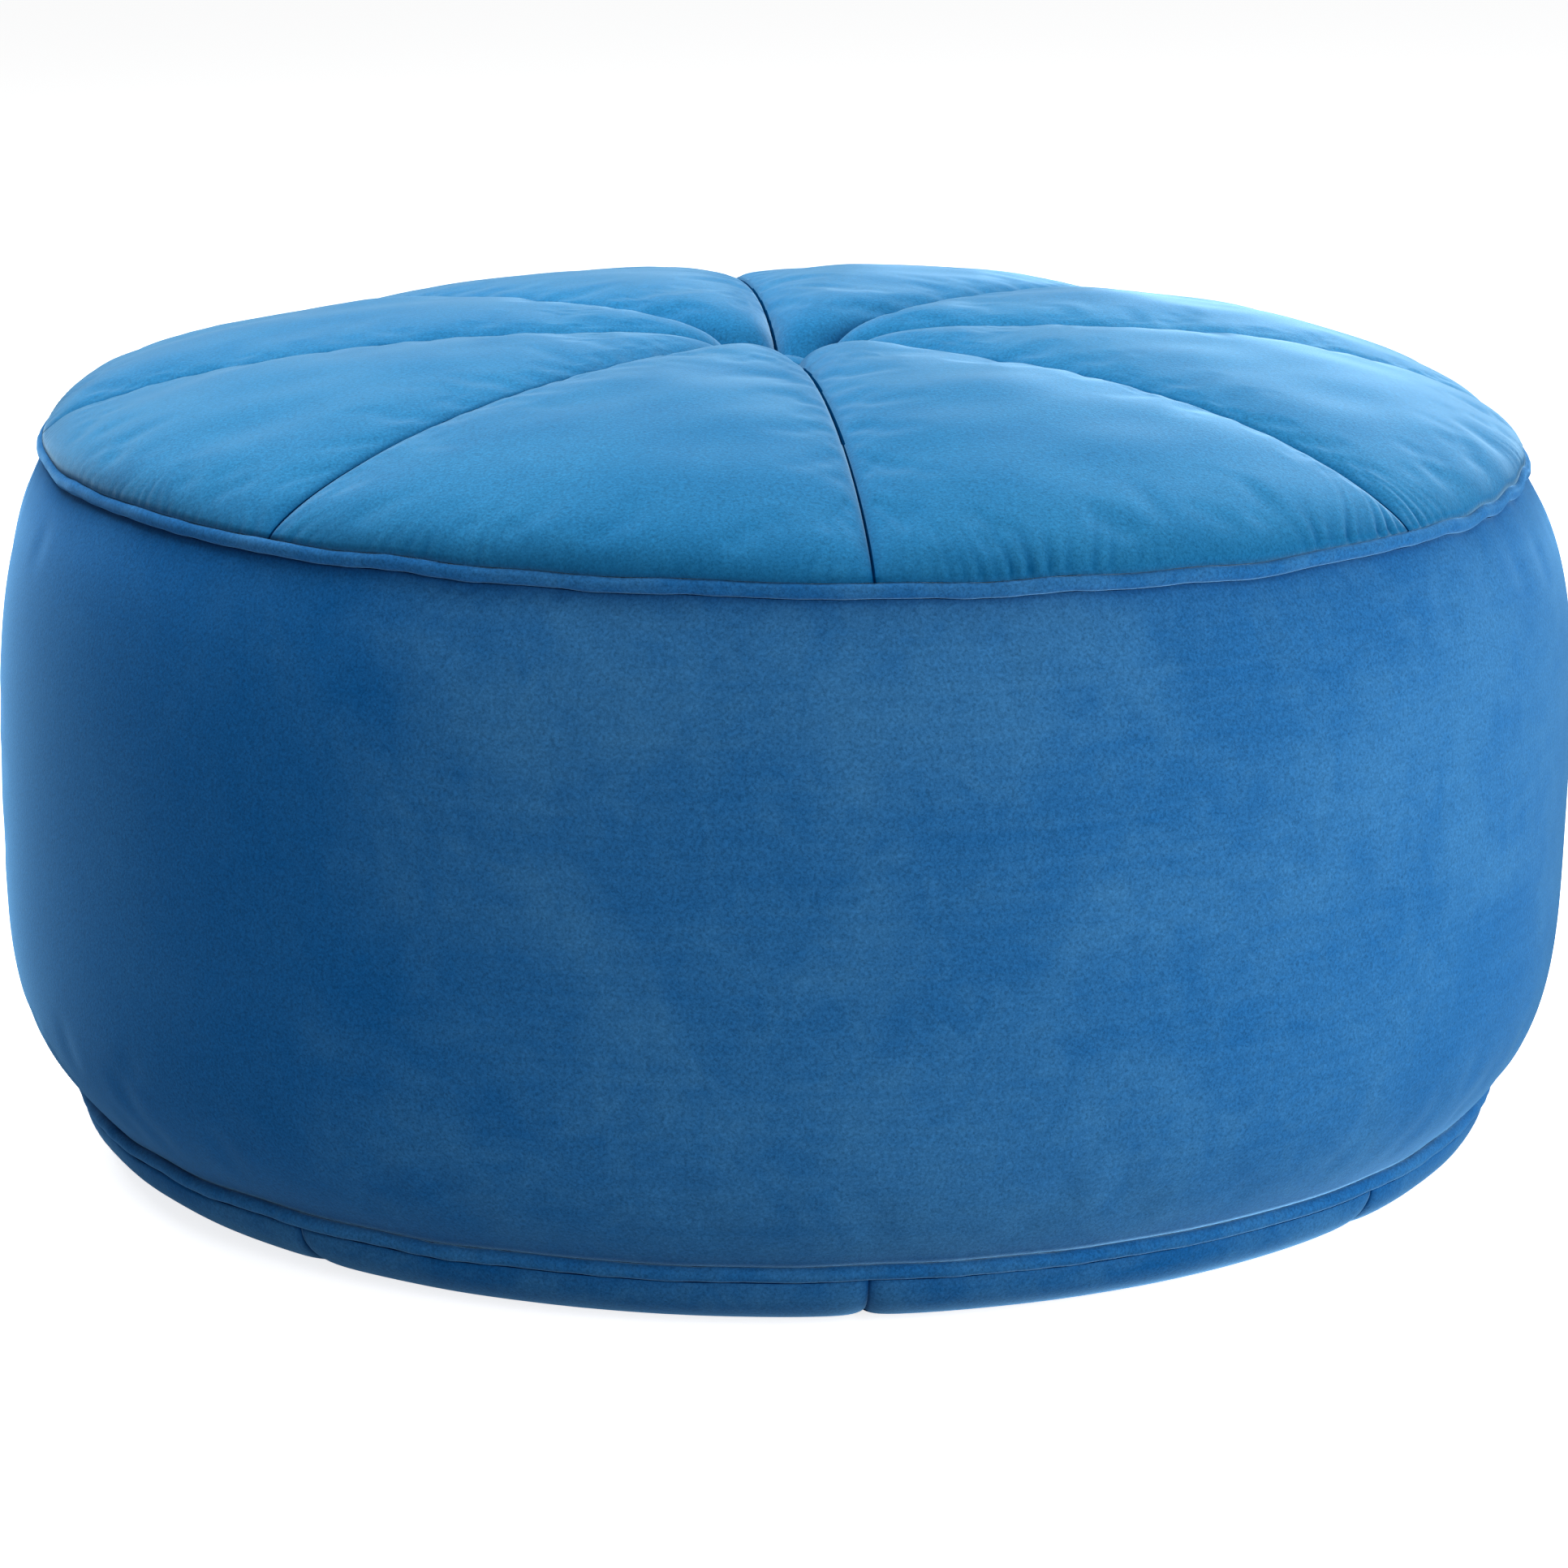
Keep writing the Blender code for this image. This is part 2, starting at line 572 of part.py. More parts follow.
def make_tuft(parts):
    """The button in the middle of the crown, its twine, and the disc that holds it under the foam."""
    button_radius = BUTTON_DIAMETER / 2
    seat = crown_height(button_radius) + 2 * FIT
    form_radius = button_radius - BUTTON_CLOTH - FIT
    rim = seat + BUTTON_RIM
    steps = 4
    dome = []
    cap = []
    for step in range(steps + 1):
        angle = math.pi / 2 * (1 - step / steps)
        dome.append((form_radius * math.cos(angle), rim + BUTTON_DOME * math.sin(angle)))
        height = rim + (BUTTON_DOME + FIT) * math.sin(angle)
        cap.append(((form_radius + FIT) * math.cos(angle), height))
    form = turned(parts, "button_form", dome + [(form_radius, seat), (0.0, seat)], steps=BUTTON_STEPS)
    dress(form, METAL_GREY, 0.5, 1.0)
    crown = [(radius * (button_radius / (form_radius + FIT)), height + BUTTON_CLOTH * (height - seat)
              / (BUTTON_DOME + BUTTON_RIM)) for radius, height in cap]
    outline = crown + [(button_radius, seat), (form_radius + FIT, seat)] + cap[::-1]
    cover = turned(parts, "button_cover", outline, steps=BUTTON_STEPS)
    dress(cover, VELVET_BLUE, 0.85)
    anchor_top = FOAM_BOTTOM + FIT + ANCHOR_THICKNESS
    anchor_radius = ANCHOR_DIAMETER / 2
    disc = [(0.0, anchor_top), (anchor_radius, anchor_top),
            (anchor_radius, FOAM_BOTTOM + FIT), (0.0, FOAM_BOTTOM + FIT)]
    dress(turned(parts, "tuft_anchor", disc, steps=BUTTON_STEPS), WADDING_WHITE, 0.4)
    twine_radius = TWINE_DIAMETER / 2
    twine = [(0.0, seat - FIT), (twine_radius, seat - FIT),
             (twine_radius, anchor_top + FIT), (0.0, anchor_top + FIT)]
    dress(turned(parts, "tuft_twine", twine, steps=8), CORD_WHITE, 0.9)


def main():
    clear_scene()
    parts = new_collection("Floor cushion")
    cutters = new_collection("Cutters", hidden=True)
    make_top_panels(parts)
    make_side_bands(parts)
    make_bottom_panels(parts)
    make_piping(parts)
    make_base_cloths(parts, cutters)
    make_zip(parts, cutters)
    make_foam_core(parts)
    make_crown_wadding(parts)
    make_side_wadding(parts)
    make_lower_wadding(parts, cutters)
    make_tuft(parts)


main()
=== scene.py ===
"""The finished floor cushion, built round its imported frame: a Blender add-on that is run as a script."""

import math

import bmesh
import bpy
import numpy as np
from bpy.props import FloatProperty, FloatVectorProperty, PointerProperty
from mathutils import Matrix, Vector


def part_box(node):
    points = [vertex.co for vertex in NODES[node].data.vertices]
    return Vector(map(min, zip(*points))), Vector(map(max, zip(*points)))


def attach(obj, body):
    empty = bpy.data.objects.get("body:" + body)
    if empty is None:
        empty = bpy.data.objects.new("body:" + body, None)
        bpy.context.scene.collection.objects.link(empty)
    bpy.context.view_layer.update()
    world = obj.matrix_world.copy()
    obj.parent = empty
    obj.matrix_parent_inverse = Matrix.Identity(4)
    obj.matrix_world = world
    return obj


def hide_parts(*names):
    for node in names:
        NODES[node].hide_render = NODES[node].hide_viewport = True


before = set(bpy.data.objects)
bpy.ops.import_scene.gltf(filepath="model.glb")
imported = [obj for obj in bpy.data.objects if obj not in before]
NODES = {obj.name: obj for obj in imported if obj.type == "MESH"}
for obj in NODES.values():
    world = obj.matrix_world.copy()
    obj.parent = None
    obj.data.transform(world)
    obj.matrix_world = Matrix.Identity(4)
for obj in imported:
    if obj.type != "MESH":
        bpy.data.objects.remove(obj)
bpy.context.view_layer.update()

bl_info = {
    "name": "Floor cushion maker",
    "version": (1, 0, 0),
    "blender": (4, 5, 0),
    "location": "3D View > Sidebar > Floor cushion",
    "description": "Makes the covers, pipings, fillings and fastenings of a round velvet floor cushion",
    "category": "Object",
}

# Where the frame puts things, in metres.
BODY_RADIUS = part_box("side_band_front")[1].x
BODY_TOP = max(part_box(f"top_panel_{number}")[1].z for number in range(1, 9))
PIPING_LOW, PIPING_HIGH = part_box("upper_piping_cover")
UNDER_PIPING_LOW, UNDER_PIPING_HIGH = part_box("lower_piping_cover")
PIPING_RADIUS = (PIPING_HIGH.z - PIPING_LOW.z) / 2
UPPER_SEAM_RADIUS = PIPING_HIGH.x - PIPING_RADIUS
UPPER_SEAM_HEIGHT = (PIPING_HIGH.z + PIPING_LOW.z) / 2
LOWER_SEAM_RADIUS = UNDER_PIPING_HIGH.x - PIPING_RADIUS
LOWER_SEAM_HEIGHT = (UNDER_PIPING_HIGH.z + UNDER_PIPING_LOW.z) / 2
CORD_RADIUS = (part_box("upper_piping_cord")[1].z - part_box("upper_piping_cord")[0].z) / 2
BUTTON_LOW, BUTTON_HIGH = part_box("button_cover")
BASE_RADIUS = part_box("base_cloth_front")[1].x

# The cover's cut.
WEDGES = 8
WEDGE_ANGLE = 2 * math.pi / WEDGES
VELVET = 0.0016
UNDER_VELVET = 0.0012
LINING = 0.0009
SEAM_ALLOWANCE = 0.008
MIDDLE_HEIGHT = 0.19
FIT = 0.0003
SEAM_TOUCH = 0.00003
CROWN_FOOT = UPPER_SEAM_HEIGHT + PIPING_RADIUS + FIT
CROWN_RADIUS = UPPER_SEAM_RADIUS + 0.0009
CROWN_LINE_TOP = BODY_TOP - 0.0066
CROWN_POWER = 3.3
CROWN_ROUND = 1.2
TIP_RADIUS = 0.007
TUFT_DEPTH = 0.031
TUFT_WIDTH = 0.055
TUFT_POWER = 1.3
RIM_TUCK = 0.006
SEAM_DROP = 0.0040
SHOULDER_REACH = 0.0120
PUFF_POWER = 2.2
CENTRE_PUFF = 0.0050
CENTRE_PUFF_RADIUS = 0.060
CENTRE_PUFF_SPREAD = 0.042
RIM_PUFF = 0.0050
RIM_PUFF_SPREAD = 0.028
SIDE_TOP = UPPER_SEAM_HEIGHT - PIPING_RADIUS - FIT
SIDE_BOTTOM = LOWER_SEAM_HEIGHT + PIPING_RADIUS + FIT
WIDEST_HEIGHT = 0.165
UPPER_BULGE_POWER = 4.2
LOWER_BULGE_POWER = 3.6
UNDER_TOP = LOWER_SEAM_HEIGHT - PIPING_RADIUS - FIT
UNDER_RADIUS = LOWER_SEAM_RADIUS + 0.0009
WAVE_REACH = 0.012
PUCKER_START = 0.0016
ZIP_SLOT = 0.007
STITCHES = 102
STITCH_PITCH = 0.004
STITCH_OFFSET = 0.0028
STITCH_HALF = (0.0014, 0.00028, 0.0002)
COIL_WIRE = 0.00034
BUTTON_WALL = 0.0011
ZIP_LINE = (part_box("zip_coil_front")[1].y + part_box("zip_coil_rear")[0].y) / 2

# How finely the cloth is laid out: cells across and along each cut.
CROWN_SETTLE = (36, 44)
CROWN_CELLS = (168, 120)
SIDE_SETTLE = (84, 24)
SIDE_CELLS = (420, 96)
UNDER_CELLS = (72, 28)
PIPING_STEPS = 760
BASE_CELLS = (168, 40)
COIL_TURNS = 285
COIL_STEPS = 10

# The settling of the cover on its filling.
SETTLE_FRAMES = 20
SETTLE_PRESSURE = 4.0
SETTLE_CAP = 0.004
FILLING_HOLD = 0.12
CROWN_SETTLED = 0.6
SIDE_SETTLED = 0.35

# The camera, in metres, degrees and millimetres of lens.
CAMERA_LENS = 121.9
CAMERA_TURN = 6.13
CAMERA_PITCH = 13.98
CAMERA_DISTANCE = 2.6674
CAMERA_HEIGHT = 0.8365


def settings():
    """The sizes and colours that a user may change."""
    return bpy.context.scene.floor_cushion


# Shape helpers ---------------------------------------------------------------


def place(azimuth, radius, height):
    """Points of the cushion from the angle round it, front towards right, and distance from its axis."""
    return np.stack([radius * np.sin(azimuth), -radius * np.cos(azimuth), height + 0 * azimuth], axis=-1)


def bump(value, centre, width):
    """A smooth hill of height one."""
    return np.exp(-(((value - centre) / width) ** 2))


def ripple(angle, seed, lowest, highest, count=9):
    """A wandering wave round the cushion between about -1 and 1, made of whole waves so that it closes."""
    draw = np.random.default_rng(seed)
    total = np.zeros_like(angle)
    for _ in range(count):
        size = draw.uniform(0.5, 1.0)
        waves = draw.integers(lowest, highest + 1)
        total += size * np.cos(waves * angle + draw.uniform(0, 2 * math.pi))
    return total / math.sqrt(count * 0.6)


def clouds(points, seed, shortest, longest, count=28):
    """Soft unevenness in space between about -1 and 1, with features between two sizes in metres."""
    draw = np.random.default_rng(seed)
    total = np.zeros(points.shape[:-1])
    for _ in range(count):
        direction = draw.normal(size=3)
        direction *= 2 * math.pi / draw.uniform(shortest, longest) / np.linalg.norm(direction)
        total += np.cos(points @ direction + draw.uniform(0, 2 * math.pi))
    return total / math.sqrt(count * 0.5)


def rim_lift(azimuth):
    """How far the upper seam rides above its true height: up on the left, down on the right."""
    return settings().rim_tilt * (-np.sin(azimuth) + 0.18 * ripple(azimuth, 11, 2, 5, 4))


def seam_waves(azimuth, upper):
    """The small waves of a piped seam: how far it rises and falls beside the lean of the rim."""
    if not upper:
        return 0.0004 * ripple(azimuth, 320, 9, 40, 8) + 0.0006 * ripple(azimuth, 330, 2, 5, 4)
    pulled = 0.0013 * np.sin(azimuth * 52) * bump(azimuth, math.radians(64), math.radians(13))
    return 0.0005 * ripple(azimuth, 321, 9, 40, 8) + pulled


def crown_line(radius):
    """Height of the seams between the crown's wedges."""
    share = np.clip(radius / CROWN_RADIUS, 0, 1)
    dome = (CROWN_LINE_TOP - CROWN_FOOT) * np.clip(1 - share**CROWN_POWER, 0, None) ** (1 / CROWN_ROUND)
    return CROWN_FOOT + dome - TUFT_DEPTH * np.exp(-((radius / TUFT_WIDTH) ** TUFT_POWER))


def run_of(points, count):
    """A polyline's points, evenly spaced, with its outward normals and the distance run from its start."""
    steps = np.linalg.norm(np.diff(points, axis=0), axis=1)
    along = np.concatenate([[0], np.cumsum(steps)])
    even = np.linspace(0, along[-1], count)
    run = np.stack([np.interp(even, along, points[:, column]) for column in range(2)], axis=1)
    slope = np.gradient(run, axis=0)
    slope /= np.linalg.norm(slope, axis=1)[:, None]
    return run, np.stack([slope[:, 1], -slope[:, 0]], axis=1), even


def crown_run(count):
    """The crown's section from its rim inwards to the tuft, on the seam line."""
    turn = np.linspace(0, 1, 900)
    radius = CROWN_RADIUS - (CROWN_RADIUS - TIP_RADIUS) * turn**2.2
    return run_of(np.stack([radius, crown_line(radius)], axis=1), count)


def side_run(count):
    """The side band's section from the lower seam up to the upper one."""
    height = np.linspace(SIDE_BOTTOM, SIDE_TOP, 600)
    above = np.clip((height - WIDEST_HEIGHT) / (SIDE_TOP - WIDEST_HEIGHT), 0, 1) ** UPPER_BULGE_POWER
    below = np.clip((WIDEST_HEIGHT - height) / (WIDEST_HEIGHT - SIDE_BOTTOM), 0, 1) ** LOWER_BULGE_POWER
    drawn_in = (BODY_RADIUS - UPPER_SEAM_RADIUS) * above
    tucked_in = (BODY_RADIUS - LOWER_SEAM_RADIUS) * below
    radius = BODY_RADIUS - drawn_in - tucked_in
    return run_of(np.stack([radius, height], axis=1), count)


def under_run(count):
    """The turned-under panels' section from the base up to the lower seam."""
    turn = np.linspace(0, math.pi / 2, 200)
    radius = BASE_RADIUS + (UNDER_RADIUS - BASE_RADIUS) * np.sin(turn)
    height = 0.0004 + (UNDER_TOP - 0.0004) * (1 - np.cos(turn))
    return run_of(np.stack([radius, height], axis=1), count)


def layout(cells):
    """The positions across and along a cut, each from 0 to 1, as two arrays."""
    across, along = cells
    return np.meshgrid(np.linspace(0, 1, across + 1), np.linspace(0, 1, along + 1))


def spread_across(across):
    """Cloth positions across a wedge, closer together near its seams."""
    return 0.40 * across + 0.60 * (0.5 - 0.5 * np.cos(math.pi * across))


def surface_normals(points):
    """Unit normals of a laid-out cut, pointing out of the cushion."""
    normal = np.cross(np.gradient(points, axis=1), np.gradient(points, axis=0))
    normal /= np.maximum(np.linalg.norm(normal, axis=-1), 1e-12)[..., None]
    middle = points - np.array([0, 0, MIDDLE_HEIGHT])
    return normal if (normal * middle).sum() > 0 else -normal


def rounded(share):
    """A quarter-round rise from 0 to 1 that starts upright."""
    return np.sqrt(np.clip(1 - (1 - np.clip(share, 0, 1)) ** 2, 0, 1))


def crown_surface(number, cells):
    """One crown wedge stuffed between its seams, before it settles."""
    props = settings()
    across, along = layout(cells)
    share = spread_across(across)
    line, normal, _ = crown_run(cells[1] + 1)
    radius, height = line[:, 0][:, None], line[:, 1][:, None]
    from_seam = radius * WEDGE_ANGLE * np.minimum(share, 1 - share)
    fullness = 1 - np.abs(2 * share - 1) ** PUFF_POWER
    rise = 1 - np.exp(-np.clip(height - CROWN_FOOT, 0, None) / 0.008)
    centre = np.clip((radius - 0.016) / 0.03, 0, 1)
    centre = centre * centre * (3 - 2 * centre)
    puff = (props.middle_puff + CENTRE_PUFF * bump(radius, CENTRE_PUFF_RADIUS, CENTRE_PUFF_SPREAD)
            + RIM_PUFF * bump(radius, CROWN_RADIUS, RIM_PUFF_SPREAD)) * fullness
    reach = np.minimum(SHOULDER_REACH, 0.35 * radius * WEDGE_ANGLE)
    shoulder = props.shoulder * rounded(from_seam / reach) * np.clip(radius / 0.05, 0, 1)
    out = (puff * centre + shoulder) * rise
    azimuth = (number - 1 + share) * WEDGE_ANGLE
    edge = SEAM_TOUCH / np.maximum(radius, TIP_RADIUS)
    azimuth = np.clip(azimuth, (number - 1) * WEDGE_ANGLE + edge, number * WEDGE_ANGLE - edge)
    points = place(azimuth, radius + normal[:, 0][:, None] * out, height + normal[:, 1][:, None] * out)
    points[..., 2] += rim_lift(azimuth) * np.clip((radius - 0.22) / (CROWN_RADIUS - 0.22), 0, 1) ** 2
    from_rim = np.hypot(CROWN_RADIUS - radius, height - CROWN_FOOT)
    points[..., 2] += seam_waves(azimuth, True) * np.exp(-from_rim / WAVE_REACH)
    return points


def side_surface(front, cells):
    """Half of the side band round its filling, before it settles."""
    across, _ = layout(cells)
    line, _, _ = side_run(cells[1] + 1)
    azimuth = (across - 0.5) * (math.pi - 2 * SEAM_TOUCH) + (0 if front else math.pi)
    radius, height = line[:, 0][:, None], line[:, 1][:, None]
    climb = np.clip((height - 0.20) / (SIDE_TOP - 0.20), 0, 1) ** 2
    waves = (seam_waves(azimuth, True) * np.exp(-(SIDE_TOP - height) / WAVE_REACH)
             + seam_waves(azimuth, False) * np.exp(-(height - SIDE_BOTTOM) / WAVE_REACH))
    return place(azimuth, radius + 0 * azimuth, height + rim_lift(azimuth) * climb + waves)


def mesh_of(work, name):
    """The mesh that finished bmesh work leaves."""
    mesh = bpy.data.meshes.new(name)
    work.to_mesh(mesh)
    work.free()
    return mesh


def vertex_places(mesh):
    """A mesh's vertices, one row each."""
    flat = np.empty(len(mesh.vertices) * 3, np.float32)
    mesh.vertices.foreach_get("co", flat)
    return flat.reshape(-1, 3)


def grid_mesh(name, points, painted_shade=None, fold=None):
    """A mesh of square cells on these points, with how much painted shade each point gets and whether it lies
    in a fold.
    """
    rows, columns = points.shape[:2]
    work = bmesh.new()
    bmesh.ops.create_grid(work, x_segments=columns - 1, y_segments=rows - 1, size=1.0)
    mesh = mesh_of(work, name)
    flat = vertex_places(mesh)
    column = np.rint((flat[:, 0] + 1) / 2 * (columns - 1)).astype(int)
    row = np.rint((flat[:, 1] + 1) / 2 * (rows - 1)).astype(int)
    mesh.vertices.foreach_set("co", points[row, column].astype(np.float32).ravel())
    for label, values in (("painted_shade", painted_shade), ("fold", fold)):
        if values is not None:
            layer = mesh.attributes.new(label, "FLOAT", "POINT")
            layer.data.foreach_set("value", np.clip(values[row, column], 0, 1).astype(np.float32))
    mesh.update()
    return mesh


def settle(cuts):
    """Lets coarse cuts, held at their seams, swell on the filling; returns how far each point moved."""
    work = bmesh.new()
    for points in cuts:
        rows, columns = points.shape[:2]
        made = bmesh.ops.create_grid(work, x_segments=columns - 1, y_segments=rows - 1, size=1.0)
        for vertex in made["verts"]:
            column = round((vertex.co.x + 1) / 2 * (columns - 1))
            row = round((vertex.co.y + 1) / 2 * (rows - 1))
            vertex.co = points[row, column]
    bmesh.ops.recalc_face_normals(work, faces=work.faces)
    mesh = mesh_of(work, "settling_cover")
    cover = bpy.data.objects.new("settling_cover", mesh)
    bpy.context.scene.collection.objects.link(cover)
    out = sum(face.normal.dot(face.center - Vector((0, 0, MIDDLE_HEIGHT))) for face in mesh.polygons)
    if out < 0:
        mesh.flip_normals()
    held = cover.vertex_groups.new(name="held")
    start = 0
    for points in cuts:
        rows, columns = points.shape[:2]
        index = np.arange(rows * columns).reshape(rows, columns)
        inner = index[2:-2, 2:-2].ravel() + start
        every = set((index.ravel() + start).tolist())
        held.add(inner.tolist(), FILLING_HOLD, "REPLACE")
        held.add(sorted(every - set(inner.tolist())), 1.0, "REPLACE")
        start += rows * columns
    cloth = cover.modifiers.new("settle", "CLOTH")
    cloth.settings.quality = 5
    cloth.settings.mass = 0.4
    cloth.settings.tension_stiffness = 18
    cloth.settings.compression_stiffness = 18
    cloth.settings.shear_stiffness = 6
    cloth.settings.bending_stiffness = 0.3
    cloth.settings.use_pressure = True
    cloth.settings.uniform_pressure_force = SETTLE_PRESSURE
    cloth.settings.vertex_group_mass = "held"
    cloth.settings.pin_stiffness = 1.0
    cloth.settings.shrink_min = -settings().cloth_ease
    cloth.settings.effector_weights.gravity = 0
    cloth.point_cache.frame_start = 1
    cloth.point_cache.frame_end = SETTLE_FRAMES
    before = vertex_places(mesh)
    for step in range(1, SETTLE_FRAMES + 1):
        bpy.context.scene.frame_set(step)
    shown = cover.evaluated_get(bpy.context.evaluated_depsgraph_get())
    moved = (vertex_places(shown.data) - before).astype(float)
    far = np.linalg.norm(moved, axis=1)
    moved *= (SETTLE_CAP * np.tanh(far / SETTLE_CAP) / np.maximum(far, 1e-9))[:, None]
    fields, start = [], 0
    for points in cuts:
        size = points.shape[0] * points.shape[1]
        fields.append(moved[start:start + size].reshape(points.shape))
        start += size
    bpy.data.objects.remove(cover)
    bpy.data.meshes.remove(mesh)
    bpy.context.scene.frame_set(1)
    return fields


def smooth_weights(coarse, fine):
    """How much each coarse row counts in each fine one, on a smooth curve through the coarse rows."""
    at = np.linspace(0, coarse, fine + 1)
    first = np.clip(np.floor(at).astype(int), 0, coarse - 1)
    part = at - first
    weights = np.zeros((fine + 1, coarse + 1))
    rows = np.arange(fine + 1)
    shares = (
        (-1, -0.5 * part + part**2 - 0.5 * part**3),
        (0, 1 - 2.5 * part**2 + 1.5 * part**3),
        (1, 0.5 * part + 2 * part**2 - 1.5 * part**3),
        (2, -0.5 * part**2 + 0.5 * part**3),
    )
    for step, share in shares:
        np.add.at(weights, (rows, np.clip(first + step, 0, coarse)), share)
    return weights


def refine(field, cells):
    """A coarse field of moves carried smoothly onto a finer layout."""
    along = smooth_weights(field.shape[0] - 1, cells[1])
    across = smooth_weights(field.shape[1] - 1, cells[0])
    return np.einsum("ac,cdk,bd->abk", along, field, across)


def puckers(azimuth, distance, seed, reach, depth, closeness=(150, 330)):
    """Short gathers that run away from a round seam: how far in each point is drawn."""
    slant = 0.9 * ripple(azimuth, seed + 1, 5, 17, 6)
    turned = azimuth + slant * distance / BODY_RADIUS
    fold = ripple(turned, seed, closeness[0], closeness[1], 16)
    fold = np.clip(0.5 + 0.55 * fold, 0, 1.3) ** 1.6
    strength = 0.55 + 0.45 * ripple(azimuth, seed + 2, 3, 14, 6)
    local_reach = reach * (0.75 + 0.55 * np.clip(0.5 + 0.5 * ripple(turned, seed + 3, 30, 120, 8), 0, 1.2))
    away = np.clip(distance, 0, None)
    window = np.exp(-away / local_reach) * (1 - np.exp(-away / PUCKER_START))
    return depth * fold * np.clip(strength, 0.12, 1.2) * window


# Cloth on the cushion --------------------------------------------------------


def finish_piece(name, mesh, material, nodes, body="cushion", smooth=True):
    """Links a finished mesh as a piece that rides on a body and stands for its CAD nodes."""
    piece = bpy.data.objects.new(name, mesh)
    bpy.context.scene.collection.objects.link(piece)
    mesh.materials.clear()
    mesh.materials.append(material)
    mesh.polygons.foreach_set("use_smooth", [smooth] * len(mesh.polygons))
    mesh.update()
    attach(piece, body)
    if nodes:
        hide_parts(*nodes)
    return piece


def shade_folds(mesh, material):
    """Gives the faces that lie in a fold or against a seam the pile that no light reaches."""
    mesh.materials.append(material)
    fold = np.empty(len(mesh.vertices), np.float32)
    mesh.attributes["fold"].data.foreach_get("value", fold)
    corners = np.empty(len(mesh.loops), np.int32)
    mesh.loops.foreach_get("vertex_index", corners)
    starts = np.empty(len(mesh.polygons), np.int32)
    mesh.polygons.foreach_get("loop_start", starts)
    hidden = np.minimum.reduceat(fold[corners], starts) > 0.5
    mesh.polygons.foreach_set("material_index", hidden.astype(np.int32))
    mesh.attributes.remove(mesh.attributes["fold"])


def thicken(mesh, thickness):
    """Gives a cut its cloth thickness on the inner side and closes its edges."""
    middle = Vector((0, 0, MIDDLE_HEIGHT))
    if sum(face.normal.dot(face.center - middle) for face in mesh.polygons) < 0:
        mesh.flip_normals()
    holder = bpy.data.objects.new("cloth_thickness", mesh)
    bpy.context.scene.collection.objects.link(holder)
    wall = holder.modifiers.new("cloth", "SOLIDIFY")
    wall.thickness = thickness
    wall.offset = -1
    wall.use_even_offset = False
    graph = bpy.context.evaluated_depsgraph_get()
    made = bpy.data.meshes.new_from_object(holder.evaluated_get(graph))
    bpy.data.objects.remove(holder)
    bpy.data.meshes.remove(mesh)
    return made


def turn_in_edges(points, drop, sideways=False):
    """Adds a turned-in column of cloth along each long seam, straight down or in towards the axis."""
    first, last = points[:, :1], points[:, -1:]
    if sideways:
        inwards = np.array([drop / BODY_RADIUS, drop / BODY_RADIUS, 0])
        return np.concatenate([first - first * inwards, points, last - last * inwards], axis=1)
    fall = np.array([0, 0, drop])
    return np.concatenate([first - fall, points, last - fall], axis=1)


def widened(values, across=1, along=0, first=0):
    """Repeats an array's edge values for the rows and columns that turned-in cloth adds."""
    return np.pad(values, ((first, along), (across, across)), mode="edge")


